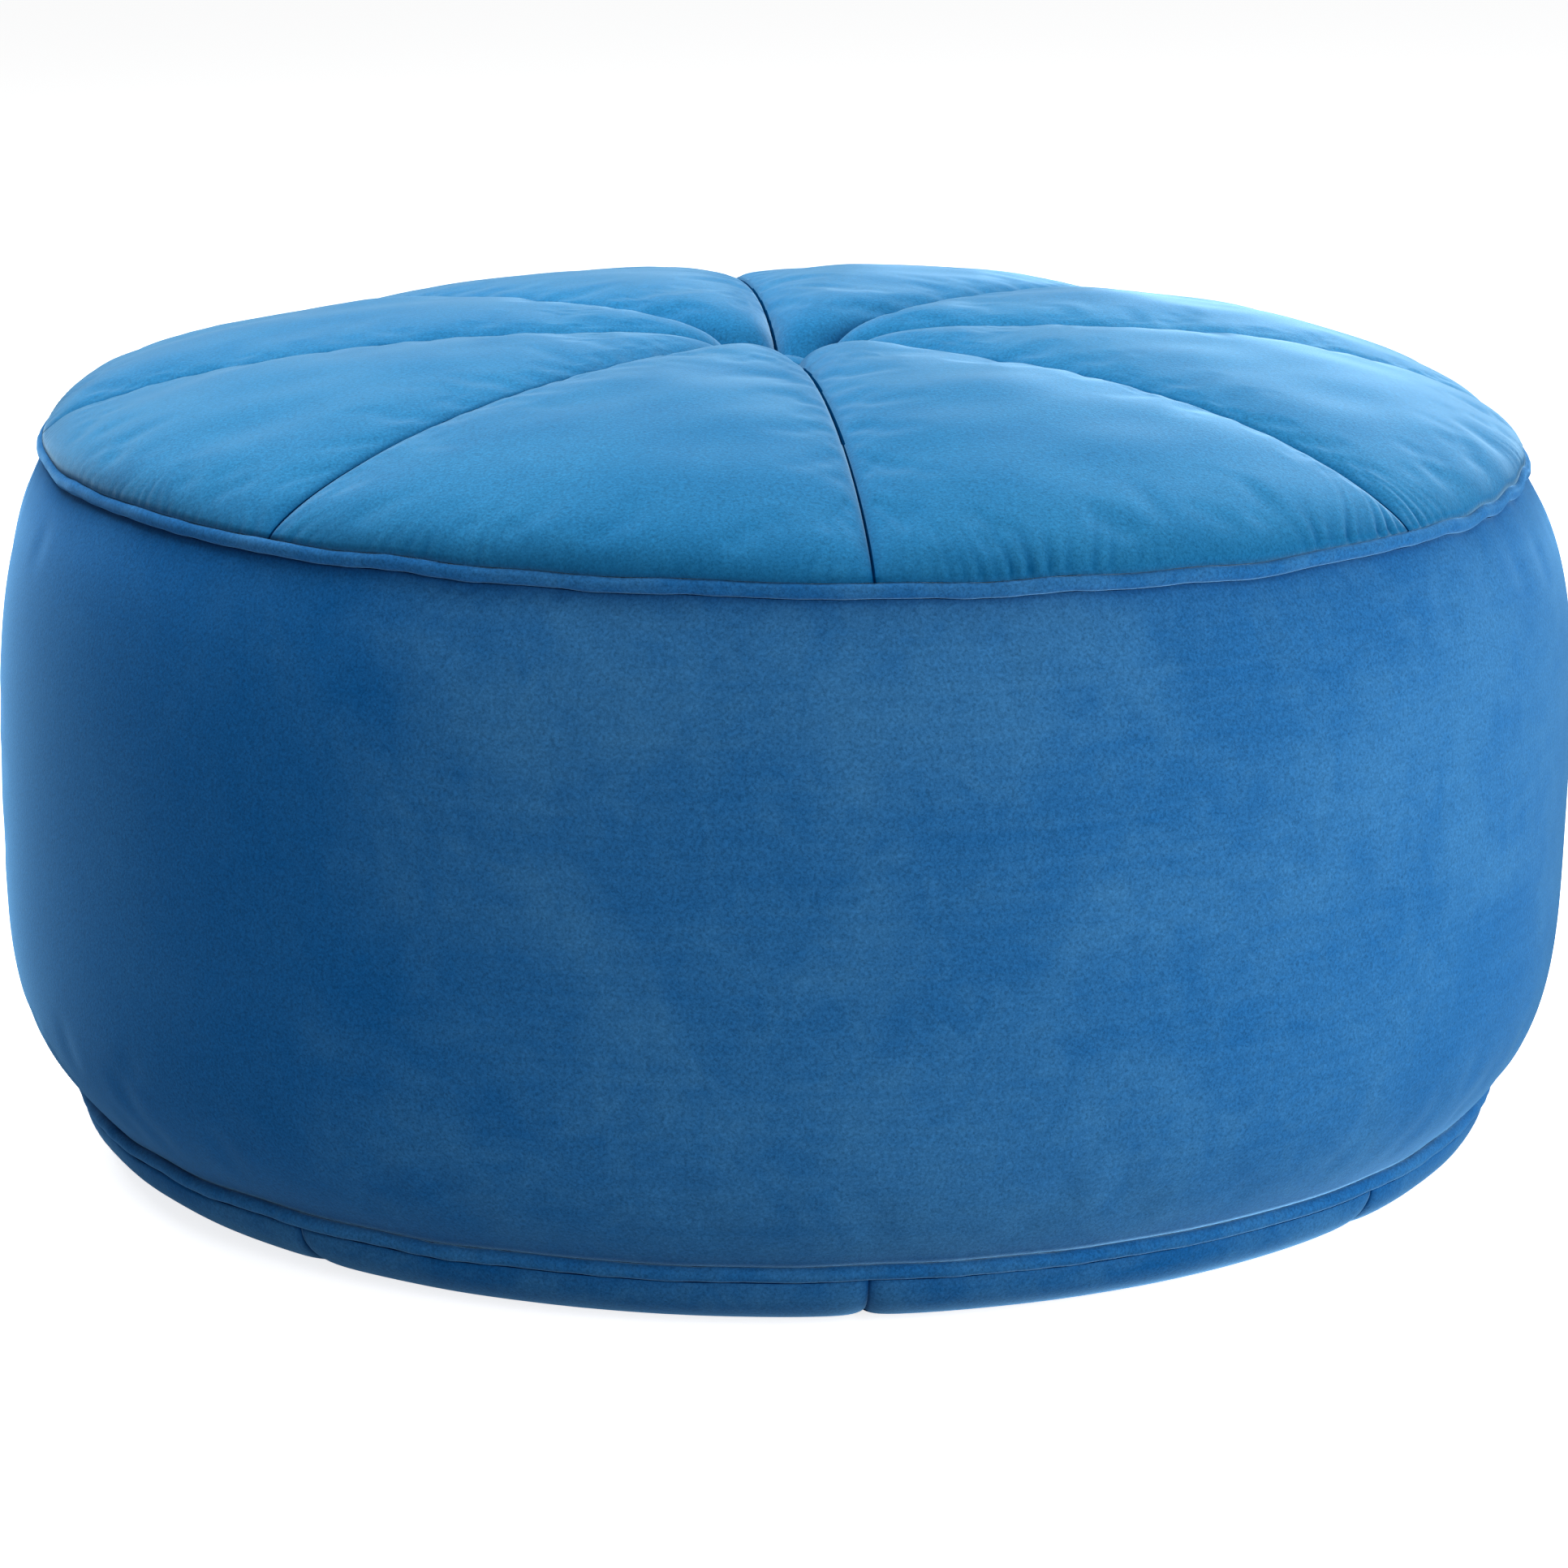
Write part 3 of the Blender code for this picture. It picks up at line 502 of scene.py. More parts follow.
def make_crown():
    """The eight stuffed wedges of the crown."""
    props = settings()
    numbers = range(1, WEDGES + 1)
    moves = settle([crown_surface(number, CROWN_SETTLE) for number in numbers])
    shade = shaded_velvet("velvet_top_fold_shade", props.top_colour)
    material = crown_velvet("velvet_top", patch=0.16, contrast=0.45, streak=0.25)
    line, _, run = crown_run(CROWN_CELLS[1] + 1)
    from_rim = run[:, None]
    line_radius = line[:, 0][:, None]
    calm = np.clip((line_radius - 0.03) / 0.06, 0, 1)
    for number, move in zip(numbers, moves):
        settled = CROWN_SETTLED * refine(move, CROWN_CELLS) * calm[..., None]
        points = crown_surface(number, CROWN_CELLS) + settled
        azimuth = np.arctan2(points[..., 0], -points[..., 1])
        across = spread_across(layout(CROWN_CELLS)[0])
        from_seam = line_radius * WEDGE_ANGLE * np.minimum(across, 1 - across)
        gathers = puckers(azimuth, from_rim + 0 * azimuth, 40, 0.012, 1.0, (190, 360))
        gathers = gathers * (1 - np.exp(-from_seam / 0.005))
        near_middle = bump(line_radius, 0.12, 0.06)
        cross_folds = ripple(from_rim * 2 * math.pi / 0.375 + 0.5 * azimuth, 60 + number, 14, 36, 8)
        draw_in = props.pucker_depth * gathers
        broken = np.clip(0.35 + 0.8 * clouds(points, 75 + number, 0.03, 0.09), 0, 1.3)
        draw_in = draw_in + (0.0001 + 0.00014 * near_middle) * broken * np.clip(cross_folds, -1, 1.5) * (
            np.exp(-from_seam / (0.010 + 0.03 * near_middle)) * (1 - np.exp(-from_seam / 0.004)))
        open_cloth = (1 - np.exp(-from_seam / 0.02)) * (1 - np.exp(-from_rim / 0.02))
        draw_in = draw_in + 0.0006 * clouds(points, 70, 0.04, 0.12) * calm * open_cloth
        points = points - surface_normals(points) * draw_in[..., None]
        # Painted shade: the colour darkens towards the rim, in the gathers and along the seams, and faces in
        # the fold mask take the shaded velvet.
        rim_shade = np.exp(-from_rim / (0.010 + 0.006 * ripple(azimuth, 90, 20, 70, 8)).clip(0.004, 0.03))
        painted_shade = 0.42 * rim_shade + 0.55 * gathers + 0.7 * np.exp(-from_seam / 0.0020)
        fold = ((from_seam < 0.0010) | (from_rim < 0.0012)).astype(float)
        points = turn_in_edges(points, SEAM_DROP)
        tuck = place(np.arctan2(points[:1, :, 0], -points[:1, :, 1]),
                     np.hypot(points[:1, :, 0], points[:1, :, 1]) - RIM_TUCK, points[:1, :, 2] + 0.0004)
        points = np.concatenate([tuck, points], axis=0)
        name = f"crown_wedge_{number}"
        mesh = thicken(grid_mesh(name, points, widened(painted_shade, first=1), widened(fold, first=1)), VELVET)
        piece = finish_piece(name, mesh, material, [f"top_panel_{number}"])
        shade_folds(mesh, shade)


def make_side():
    """The two strips of the side band."""
    props = settings()
    halves = (("side_cover_front", "side_band_front", True), ("side_cover_rear", "side_band_rear", False))
    moves = settle([side_surface(front, SIDE_SETTLE) for _, _, front in halves])
    material = side_velvet("velvet_side", patch=0.10, contrast=0.42, streak=0.28)
    shade = shaded_velvet("velvet_side_fold_shade", props.side_colour)
    _, _, run = side_run(SIDE_CELLS[1] + 1)
    from_lower = run[:, None]
    from_upper = (run[-1] - run)[:, None]
    flat_in = np.array([1 - RIM_TUCK / BODY_RADIUS, 1 - RIM_TUCK / BODY_RADIUS, 1])
    for (name, node_name, front), move in zip(halves, moves):
        points = side_surface(front, SIDE_CELLS) + SIDE_SETTLED * refine(move, SIDE_CELLS)
        azimuth = np.arctan2(points[..., 0], -points[..., 1])
        above = puckers(azimuth, from_upper + 0 * azimuth, 140, 0.010, 1.0, (90, 240))
        below = puckers(azimuth, from_lower + 0 * azimuth, 170, 0.007, 1.0, (90, 240))
        inside = (1 - np.exp(-from_lower / 0.03)) * (1 - np.exp(-from_upper / 0.03))
        draw_in = props.pucker_depth * (0.30 * above + 0.22 * below)
        draw_in = draw_in + 0.0006 * clouds(points, 190, 0.09, 0.26) * inside
        from_join = BODY_RADIUS * np.minimum(np.abs(azimuth - math.pi / 2), np.abs(azimuth + math.pi / 2))
        draw_in = draw_in + 0.0008 * np.exp(-from_join / 0.0045)
        points = points - surface_normals(points) * draw_in[..., None]
        # Painted shade: the colour darkens beside both pipings, in the gathers and at the join of the two
        # strips, and faces in the fold mask take the shaded velvet.
        painted_shade = (0.5 * np.exp(-from_upper / 0.0035) + 0.7 * np.exp(-from_lower / 0.004)
                 + 0.25 * above + 0.3 * below + 0.4 * np.exp(-from_join / 0.0012))
        fold = ((from_upper < 0.0014) | (from_lower < 0.0014) | (from_join < 0.0009)).astype(float)
        points = np.concatenate([points[:1] * flat_in, points, points[-1:] * flat_in], axis=0)
        points = turn_in_edges(points, SEAM_DROP, sideways=True)
        painted_shade, fold = widened(painted_shade, first=1, along=1), widened(fold, first=1, along=1)
        mesh = thicken(grid_mesh(name, points, painted_shade, fold), VELVET)
        piece = finish_piece(name, mesh, material, [node_name])
        shade_folds(mesh, shade)


def make_underside():
    """The eight turned-under panels between the lower piping and the base."""
    props = settings()
    material = side_velvet("velvet_under", patch=0.10, contrast=0.6, streak=0.3)
    shade = shaded_velvet("velvet_under_fold_shade", props.side_colour)
    line, normal, run = under_run(UNDER_CELLS[1] + 1)
    radius, height = line[:, 0][:, None], line[:, 1][:, None]
    from_piping = (run[-1] - run)[:, None]
    for number in range(1, WEDGES + 1):
        across, _ = layout(UNDER_CELLS)
        share = spread_across(across)
        edge = SEAM_TOUCH / radius
        azimuth = np.clip((number - 1 + share) * WEDGE_ANGLE, (number - 1) * WEDGE_ANGLE + edge,
                          number * WEDGE_ANGLE - edge)
        from_seam = radius * WEDGE_ANGLE * np.minimum(share, 1 - share)
        middle = np.sin(math.pi * run / run[-1])[:, None]
        out = 0.0012 * middle * (1 - np.exp(-from_seam / 0.006)) - 0.0016 * np.exp(-from_seam / 0.0035)
        out = out - puckers(azimuth, from_piping + 0 * azimuth, 210, 0.008, 0.4 * props.pucker_depth)
        waves = seam_waves(azimuth, False) * np.exp(-(UNDER_TOP - height) / WAVE_REACH)
        points = place(azimuth, radius + normal[:, 0][:, None] * out,
                       np.maximum(height + normal[:, 1][:, None] * out + waves, 0.0002))
        # Painted shade: the colour darkens along the seams and under the piping, and faces in the fold mask
        # take the shaded velvet.
        painted_shade = 0.8 * np.exp(-from_seam / 0.002) + 0.35 * np.exp(-from_piping / 0.004) + 0 * azimuth
        fold = ((from_seam < 0.0016) | (from_piping < 0.0012)).astype(float)
        points = turn_in_edges(points, -0.0035)
        tuck = points[-1:] * np.array([1 - RIM_TUCK / BODY_RADIUS] * 2 + [1])
        points = np.concatenate([points, tuck], axis=0)
        name = f"under_wedge_{number}"
        mesh = thicken(grid_mesh(name, points, widened(painted_shade, along=1), widened(fold, along=1)), UNDER_VELVET)
        piece = finish_piece(name, mesh, material, [f"bottom_panel_{number}"])
        shade_folds(mesh, shade)


def make_pipings():
    """The two cloth-covered cords that run round the seams, each with its seam allowance."""
    props = settings()
    material = side_velvet("velvet_piping", patch=0.05, contrast=0.4, streak=0.1)
    shade = shaded_velvet("velvet_piping_fold_shade", props.side_colour)
    rings = (("upper", UPPER_SEAM_RADIUS, UPPER_SEAM_HEIGHT), ("lower", LOWER_SEAM_RADIUS, LOWER_SEAM_HEIGHT))
    strand = twisted("piping_cord", (0.72, 0.68, 0.6), 0.0015)
    wall = PIPING_RADIUS - CORD_RADIUS - 0.0001
    tail = -PIPING_RADIUS - SEAM_ALLOWANCE
    for which, seam_radius, seam_height in rings:
        name, cord_name, upper = f"{which}_piping", f"{which}_piping_cord", which == "upper"
        section = ring_points(PIPING_RADIUS, 171, 19) + [(tail, 0.0006), (tail, 0.00005)]
        section += ring_points(PIPING_RADIUS - wall, -178, 13) + [(tail, -0.00005), (tail, -0.0006)]
        mesh = seam_ring(name, section, seam_radius, seam_height, upper)
        finish_piece(name, mesh, material, [f"{which}_piping_cover"])
        shade_folds(mesh, shade)
        mesh = seam_ring(cord_name, ring_points(CORD_RADIUS, 162, 10), seam_radius, seam_height, upper)
        finish_piece(f"{which}_cord", mesh, strand, [cord_name])


def ring_points(radius, reach, count):
    """Points round a circle from -reach to reach degrees, measured from the side that faces outwards."""
    angles = [math.radians(reach * (2 * turn / (count - 1) - 1)) for turn in range(count)]
    return [(radius * math.cos(angle), radius * math.sin(angle)) for angle in angles]


def seam_ring(name, section, seam_radius, seam_height, upper):
    """A closed section carried round one of the two piped seams, with the seam's waves."""
    work = bmesh.new()
    line = [work.verts.new((seam_radius + out, 0, up)) for out, up in section]
    edges = [work.edges.new((line[index - 1], line[index])) for index in range(len(line))]
    bmesh.ops.spin(work, geom=line + edges, axis=(0, 0, 1), cent=(0, 0, 0), angle=2 * math.pi,
                   steps=PIPING_STEPS, use_merge=True)
    bmesh.ops.remove_doubles(work, verts=work.verts, dist=1e-6)
    bmesh.ops.recalc_face_normals(work, faces=work.faces)
    mesh = mesh_of(work, name)
    flat = vertex_places(mesh).astype(float)
    azimuth = np.arctan2(flat[:, 0], -flat[:, 1])
    turned = np.degrees(np.abs(np.arctan2(flat[:, 2], np.hypot(flat[:, 0], flat[:, 1]) - seam_radius)))
    # Painted shade: the piping darkens on its inner side towards the seams, and the faces turned furthest in
    # take the shaded velvet.
    painted_shade, fold = np.clip((turned - 75) / 45, 0, 1), (turned > 112).astype(float)
    for label, values in (("painted_shade", painted_shade), ("fold", fold)):
        mesh.attributes.new(label, "FLOAT", "POINT").data.foreach_set("value", values.astype(np.float32))
    swell = 1 + 0.035 * ripple(azimuth, 300, 40, 130, 10)
    radius = seam_radius + (np.hypot(flat[:, 0], flat[:, 1]) - seam_radius) * swell
    radius = radius + 0.0005 * ripple(azimuth, 310, 6, 26, 8)
    lift = seam_waves(azimuth, upper) + (rim_lift(azimuth) if upper else 0)
    height = seam_height + flat[:, 2] * swell + lift
    mesh.vertices.foreach_set("co", place(azimuth, radius, height).astype(np.float32).ravel())
    return mesh


def spun(name, profile, steps=96):
    """A closed shape of revolution about the cushion's axis from the points of its section, axis to axis."""
    work = bmesh.new()
    line = [work.verts.new((radius, 0, height)) for radius, height in profile]
    edges = [work.edges.new(pair) for pair in zip(line, line[1:])]
    bmesh.ops.spin(work, geom=line + edges, axis=(0, 0, 1), cent=(0, 0, 0), angle=2 * math.pi,
                   steps=steps, use_merge=True)
    bmesh.ops.remove_doubles(work, verts=work.verts, dist=1e-5)
    bmesh.ops.recalc_face_normals(work, faces=work.faces)
    mesh = mesh_of(work, name)
    return mesh


def make_fillings():
    """The wadding layers and the foam under the covers."""
    wadding = fibre_fill("wadding")
    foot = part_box("crown_wadding")[0].z
    crown, _, _ = crown_run(60)
    top = [(max(radius - 0.012, 0.012), max(height - 0.010, foot + 0.001)) for radius, height in crown]
    side, _, _ = side_run(40)
    band = [(radius - 0.007, height) for radius, height in side[3:-4]]
    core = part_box("foam_core")[1].x + 0.0006
    lower, _, _ = under_run(24)
    turned = [(radius - 0.006, height + 0.004) for radius, height in lower[1:-4]]
    sections = (
        ("crown_filling", "crown_wadding", [(0.012, foot), (top[0][0], foot)] + top + [(0.012, foot)]),
        ("side_filling", "side_wadding",
         [(core, band[0][1])] + band + [(core, band[-1][1]), (core, band[0][1])]),
        ("lower_filling", "lower_wadding",
         [(0.030, turned[0][1])] + turned + [(0.030, turned[-1][1]), (0.030, turned[0][1])]),
    )
    for name, node_name, section in sections:
        mesh = spun(name, section, 144)
        finish_piece(name, mesh, wadding, [node_name])
    dress("foam_core", foam_look("foam"))


def dress(node, material):
    """Gives a CAD node that stays its finish."""
    piece = NODES[node]
    if piece.material_slots:
        for slot in piece.material_slots:
            slot.material = material
    else:
        piece.data.materials.append(material)


def make_base():
    """The two lining cloths of the base, stretched over the opening and stitched along the zip."""
    lining = woven("base_lining", (0.040, 0.036, 0.033), 0.0008)
    slot_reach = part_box("zip_bottom_stop")[0].x
    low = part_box("base_cloth_front")[0].z + 0.0002
    across, along = layout(BASE_CELLS)
    for name, side in (("base_cloth_front", -1), ("base_cloth_rear", 1)):
        chord = ZIP_LINE + side * 0.0004
        reach = math.acos(side * chord / BASE_RADIUS)
        share = (2 * across - 1) * 0.9995
        edge_x = share * BASE_RADIUS * math.sin(reach)
        opened = np.clip((-slot_reach + 0.002 - np.abs(edge_x)) / 0.002, 0, 1)
        edge_y = chord + side * (ZIP_SLOT - 0.0004) * opened
        rim_x = BASE_RADIUS * np.sin(share * reach)
        rim_y = side * BASE_RADIUS * np.cos(share * reach)
        points = np.stack([edge_x + (rim_x - edge_x) * along, edge_y + (rim_y - edge_y) * along,
                           0 * along], axis=-1)
        points[..., 2] = low + 0.00018 * (1 + np.clip(clouds(points, 400, 0.05, 0.16), -1, 1))
        lining_name = name.replace("base_cloth", "base_lining")
        mesh = thicken(grid_mesh(lining_name, points), LINING)
        piece = finish_piece(lining_name, mesh, lining, [name])
    thread = twisted("zip_thread", (0.03, 0.045, 0.07), 0.0008)
    work = bmesh.new()
    for side in (-1, 1):
        for step in range(STITCHES):
            made = bmesh.ops.create_uvsphere(work, u_segments=8, v_segments=5, radius=1.0)
            across_slot = ZIP_LINE + side * (ZIP_SLOT + STITCH_OFFSET)
            centre = (slot_reach + 0.002 + STITCH_PITCH * step, across_slot, low + 0.0001)
            bmesh.ops.scale(work, vec=STITCH_HALF, verts=made["verts"])
            bmesh.ops.translate(work, vec=centre, verts=made["verts"])
    mesh = mesh_of(work, "zip_stitches")
    finish_piece("zip_stitches", mesh, thread, [])


def make_zip():
    """The zip's woven tapes, its two coils and its metal parts."""
    tape = woven("zip_tape", (0.012, 0.016, 0.024), 0.0005)
    coil_look = moulded("zip_coil", (0.02, 0.03, 0.05))
    for half in ("front", "rear"):
        low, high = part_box(f"zip_tape_{half}")
        across, along = layout((212, 10))
        points = np.stack([low.x + (high.x - low.x) * across, low.y + (high.y - low.y) * along,
                           low.z + 0.00003 * (1 + np.sin(along * 10 * math.pi))], axis=-1)
        mesh = thicken(grid_mesh(f"woven_tape_{half}", points), 0.0005)
        piece = finish_piece(f"woven_tape_{half}", mesh, tape, [f"zip_tape_{half}"])
        low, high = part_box(f"zip_coil_{half}")
        turn = np.linspace(0, 1, COIL_TURNS * COIL_STEPS + 1)
        angle = turn * COIL_TURNS * 2 * math.pi
        mid, rise = (low + high) / 2, (high - low) / 2
        line = np.stack([low.x + COIL_WIRE + (high.x - low.x - 2 * COIL_WIRE) * turn,
                         mid.y + (rise.y - COIL_WIRE) * np.cos(angle),
                         mid.z + (rise.z - COIL_WIRE) * np.sin(angle)], axis=-1)
        curve = bpy.data.curves.new(f"coil_{half}", "CURVE")
        curve.dimensions = "3D"
        curve.bevel_depth = COIL_WIRE
        curve.bevel_resolution = 0
        curve.use_fill_caps = True
        spline = curve.splines.new("POLY")
        spline.points.add(len(line) - 1)
        spline.points.foreach_set("co", np.concatenate([line, np.ones((len(line), 1))], axis=1).ravel())
        holder = bpy.data.objects.new("coil_line", curve)
        bpy.context.scene.collection.objects.link(holder)
        made = bpy.data.meshes.new_from_object(holder.evaluated_get(bpy.context.evaluated_depsgraph_get()))
        bpy.data.objects.remove(holder)
        made.name = f"coil_{half}"
        finish_piece(f"coil_{half}", made, coil_look, [f"zip_coil_{half}"])
    metal = plated("zip_metal")
    for name in ("zip_top_stop_front", "zip_top_stop_rear", "zip_bottom_stop", "zip_slider"):
        dress(name, metal)


def make_tuft():
    """The covered button, its form, the twine and the anchor disc."""
    reach, wall = BUTTON_HIGH.x, BUTTON_WALL
    outer, inner = [], []
    for step in range(25):
        share = math.sin(step / 24 * math.pi / 2)
        dome = (1 - share**2.4) ** 0.6
        outer.append((reach * share, BUTTON_LOW.z + (BUTTON_HIGH.z - BUTTON_LOW.z) * dome))
        inner.append(((reach - wall) * share, BUTTON_LOW.z + (BUTTON_HIGH.z - wall - BUTTON_LOW.z) * dome))
    mesh = spun("covered_button", outer + inner[::-1], 96)
    flat = vertex_places(mesh).astype(float)
    radius, azimuth = np.hypot(flat[:, 0], flat[:, 1]), np.arctan2(flat[:, 0], -flat[:, 1])
    drawn = 1 - 0.012 * np.clip(ripple(azimuth, 500, 14, 30, 8), 0, 1.5) * np.clip(radius / reach, 0, 1) ** 4
    flat[:, :2] *= drawn[:, None]
    mesh.vertices.foreach_set("co", flat.astype(np.float32).ravel())
    cover = crown_velvet("velvet_button", patch=0.03, contrast=0.3, streak=0.1)
    finish_piece("covered_button", mesh, cover, ["button_cover"])
    dress("tuft_twine", twisted("twine", (0.78, 0.74, 0.65), 0.0008))
    dress("tuft_anchor", moulded("anchor_disc", (0.55, 0.56, 0.58)))
    dress("button_form", moulded("button_form", (0.35, 0.36, 0.38)))


# Finishes --------------------------------------------------------------------


def effect(name, inputs, outputs):
    """A new shader node group with these inputs and outputs, and its two end nodes."""
    tree = bpy.data.node_groups.new(name, "ShaderNodeTree")
    for label, kind, value in inputs:
        socket = tree.interface.new_socket(name=label, in_out="INPUT", socket_type=kind)
        if value is not None:
            socket.default_value = value
    for label, kind in outputs:
        tree.interface.new_socket(name=label, in_out="OUTPUT", socket_type=kind)
    return tree, tree.nodes.new("NodeGroupInput"), tree.nodes.new("NodeGroupOutput")


def node(tree, kind, **values):
    """A new node with its settings and its unlinked inputs filled in."""
    made = tree.nodes.new(kind)
    for key, value in values.items():
        if key.startswith("in_"):
            made.inputs[int(key[3:])].default_value = value
        else:
            setattr(made, key, value)
    return made


def math_node(tree, operation, first, second=None):
    """A Math node on two values or sockets."""
    made = tree.nodes.new("ShaderNodeMath")
    made.operation = operation
    for index, value in enumerate((first, second)):
        if value is None:
            continue
        if isinstance(value, (int, float)):
            made.inputs[index].default_value = value
        else:
            tree.links.new(value, made.inputs[index])
    return made.outputs[0]


def nap_effect():
    """The way that short pile lies: cloudy brushed patches, fine level streaks and the pile's own grain."""
    if "pile_nap" in bpy.data.node_groups:
        return bpy.data.node_groups["pile_nap"]
    tree, start, end = effect(
        "pile_nap",
        [("Place", "NodeSocketVector", None), ("Patch Size", "NodeSocketFloat", 0.1),
         ("Grain Size", "NodeSocketFloat", 0.0016)],
        [("Patches", "NodeSocketFloat"), ("Streaks", "NodeSocketFloat"), ("Grain", "NodeSocketFloat")],
    )
    links = tree.links
    patch_scale = math_node(tree, "DIVIDE", 1.0, start.outputs["Patch Size"])
    broad = node(tree, "ShaderNodeTexNoise", in_3=3.0, in_4=0.55, in_8=0.6)
    links.new(start.outputs["Place"], broad.inputs["Vector"])
    links.new(patch_scale, broad.inputs["Scale"])
    small = node(tree, "ShaderNodeTexNoise", in_3=4.0, in_4=0.62, in_8=1.2)
    links.new(start.outputs["Place"], small.inputs["Vector"])
    links.new(math_node(tree, "MULTIPLY", patch_scale, 4.3), small.inputs["Scale"])
    both = math_node(tree, "ADD", math_node(tree, "MULTIPLY", broad.outputs[0], 0.68),
                     math_node(tree, "MULTIPLY", small.outputs[0], 0.32))
    clear = node(tree, "ShaderNodeMapRange", in_1=0.36, in_2=0.66)
    clear.interpolation_type = "SMOOTHSTEP"
    links.new(both, clear.inputs[0])
    links.new(clear.outputs[0], end.inputs["Patches"])
    squash = node(tree, "ShaderNodeMapping", vector_type="POINT")
    squash.inputs["Scale"].default_value = (7.0, 7.0, 230.0)
    links.new(start.outputs["Place"], squash.inputs["Vector"])
    streak = node(tree, "ShaderNodeTexNoise", in_2=1.0, in_3=2.0, in_4=0.5, in_8=0.15)
    links.new(squash.outputs[0], streak.inputs["Vector"])
    links.new(streak.outputs[0], end.inputs["Streaks"])
    grain = node(tree, "ShaderNodeTexNoise", in_3=2.0, in_4=0.7, in_8=0.4)
    links.new(start.outputs["Place"], grain.inputs["Vector"])
    links.new(math_node(tree, "DIVIDE", 1.0, start.outputs["Grain Size"]), grain.inputs["Scale"])
    links.new(grain.outputs[0], end.inputs["Grain"])
    return tree


def weave_effect():
    """Plain weave: crossing threads with a little unevenness."""
    if "plain_weave" in bpy.data.node_groups:
        return bpy.data.node_groups["plain_weave"]
    tree, start, end = effect(
        "plain_weave",
        [("Place", "NodeSocketVector", None), ("Thread Size", "NodeSocketFloat", 0.0006)],
        [("Height", "NodeSocketFloat"), ("Unevenness", "NodeSocketFloat")],
    )
    links = tree.links
    scale = math_node(tree, "DIVIDE", math.pi, start.outputs["Thread Size"])
    parts = tree.nodes.new("ShaderNodeSeparateXYZ")
    links.new(start.outputs["Place"], parts.inputs[0])
    waves = []
    for axis in range(2):
        waves.append(math_node(tree, "SINE", math_node(tree, "MULTIPLY", parts.outputs[axis], scale)))
    height = math_node(tree, "ABSOLUTE", math_node(tree, "MULTIPLY", waves[0], waves[1]))
    links.new(height, end.inputs["Height"])
    uneven = node(tree, "ShaderNodeTexNoise", in_2=45.0, in_3=3.0, in_4=0.6, in_8=0.2)
    links.new(start.outputs["Place"], uneven.inputs["Vector"])
    links.new(uneven.outputs[0], end.inputs["Unevenness"])
    return tree


def new_material(name):
    """A material with its shader, node tree and object coordinates."""
    material = bpy.data.materials.new(name)
    material.use_nodes = True
    tree = material.node_tree
    shader = tree.nodes["Principled BSDF"]
    coordinates = tree.nodes.new("ShaderNodeTexCoord")
    return material, tree, shader, coordinates.outputs["Object"]


def mix_colour(tree, share, first, second, kind="MIX"):
    """Mixes two colours or colour sockets by a share."""
    made = tree.nodes.new("ShaderNodeMix")
    made.data_type = "RGBA"
    made.blend_type = kind
    for socket, value in ((made.inputs[0], share), (made.inputs[6], first), (made.inputs[7], second)):
        if isinstance(value, bpy.types.NodeSocket):
            tree.links.new(value, socket)
        elif isinstance(value, (int, float)):
            socket.default_value = value
        else:
            socket.default_value = (*value[:3], 1.0)
    return made.outputs[2]


def tint(colour, share):
    """A colour made darker or lighter by a share."""
    return [part * share for part in colour]


def raise_surface(tree, shader, height, distance, strength):
    """A Bump node on the shader's normal."""
    made = tree.nodes.new("ShaderNodeBump")
    made.inputs["Strength"].default_value = strength
    made.inputs["Distance"].default_value = distance
    tree.links.new(height, made.inputs["Height"])
    tree.links.new(made.outputs[0], shader.inputs["Normal"])


def crown_velvet(name, **nap):
    """Velvet in the crown's colours."""
    props = settings()
    return velvet(name, props.top_colour, props.top_nap, props.sheen_colour, **nap)


def side_velvet(name, **nap):
    """Velvet in the band's colours."""
    props = settings()
    return velvet(name, props.side_colour, props.side_nap, props.side_sheen, **nap)


def shaded_velvet(name, deep):
    """A darker copy of the velvet without sheen: painted shade for faces in a fold or against a seam."""
    fold_shade_colour = (0.0, deep[1] * 0.30, deep[2] * 0.40)
    return velvet(name, fold_shade_colour, fold_shade_colour, (1, 1, 1), patch=0.05, contrast=0.2, streak=0.0, sheen=0.0)


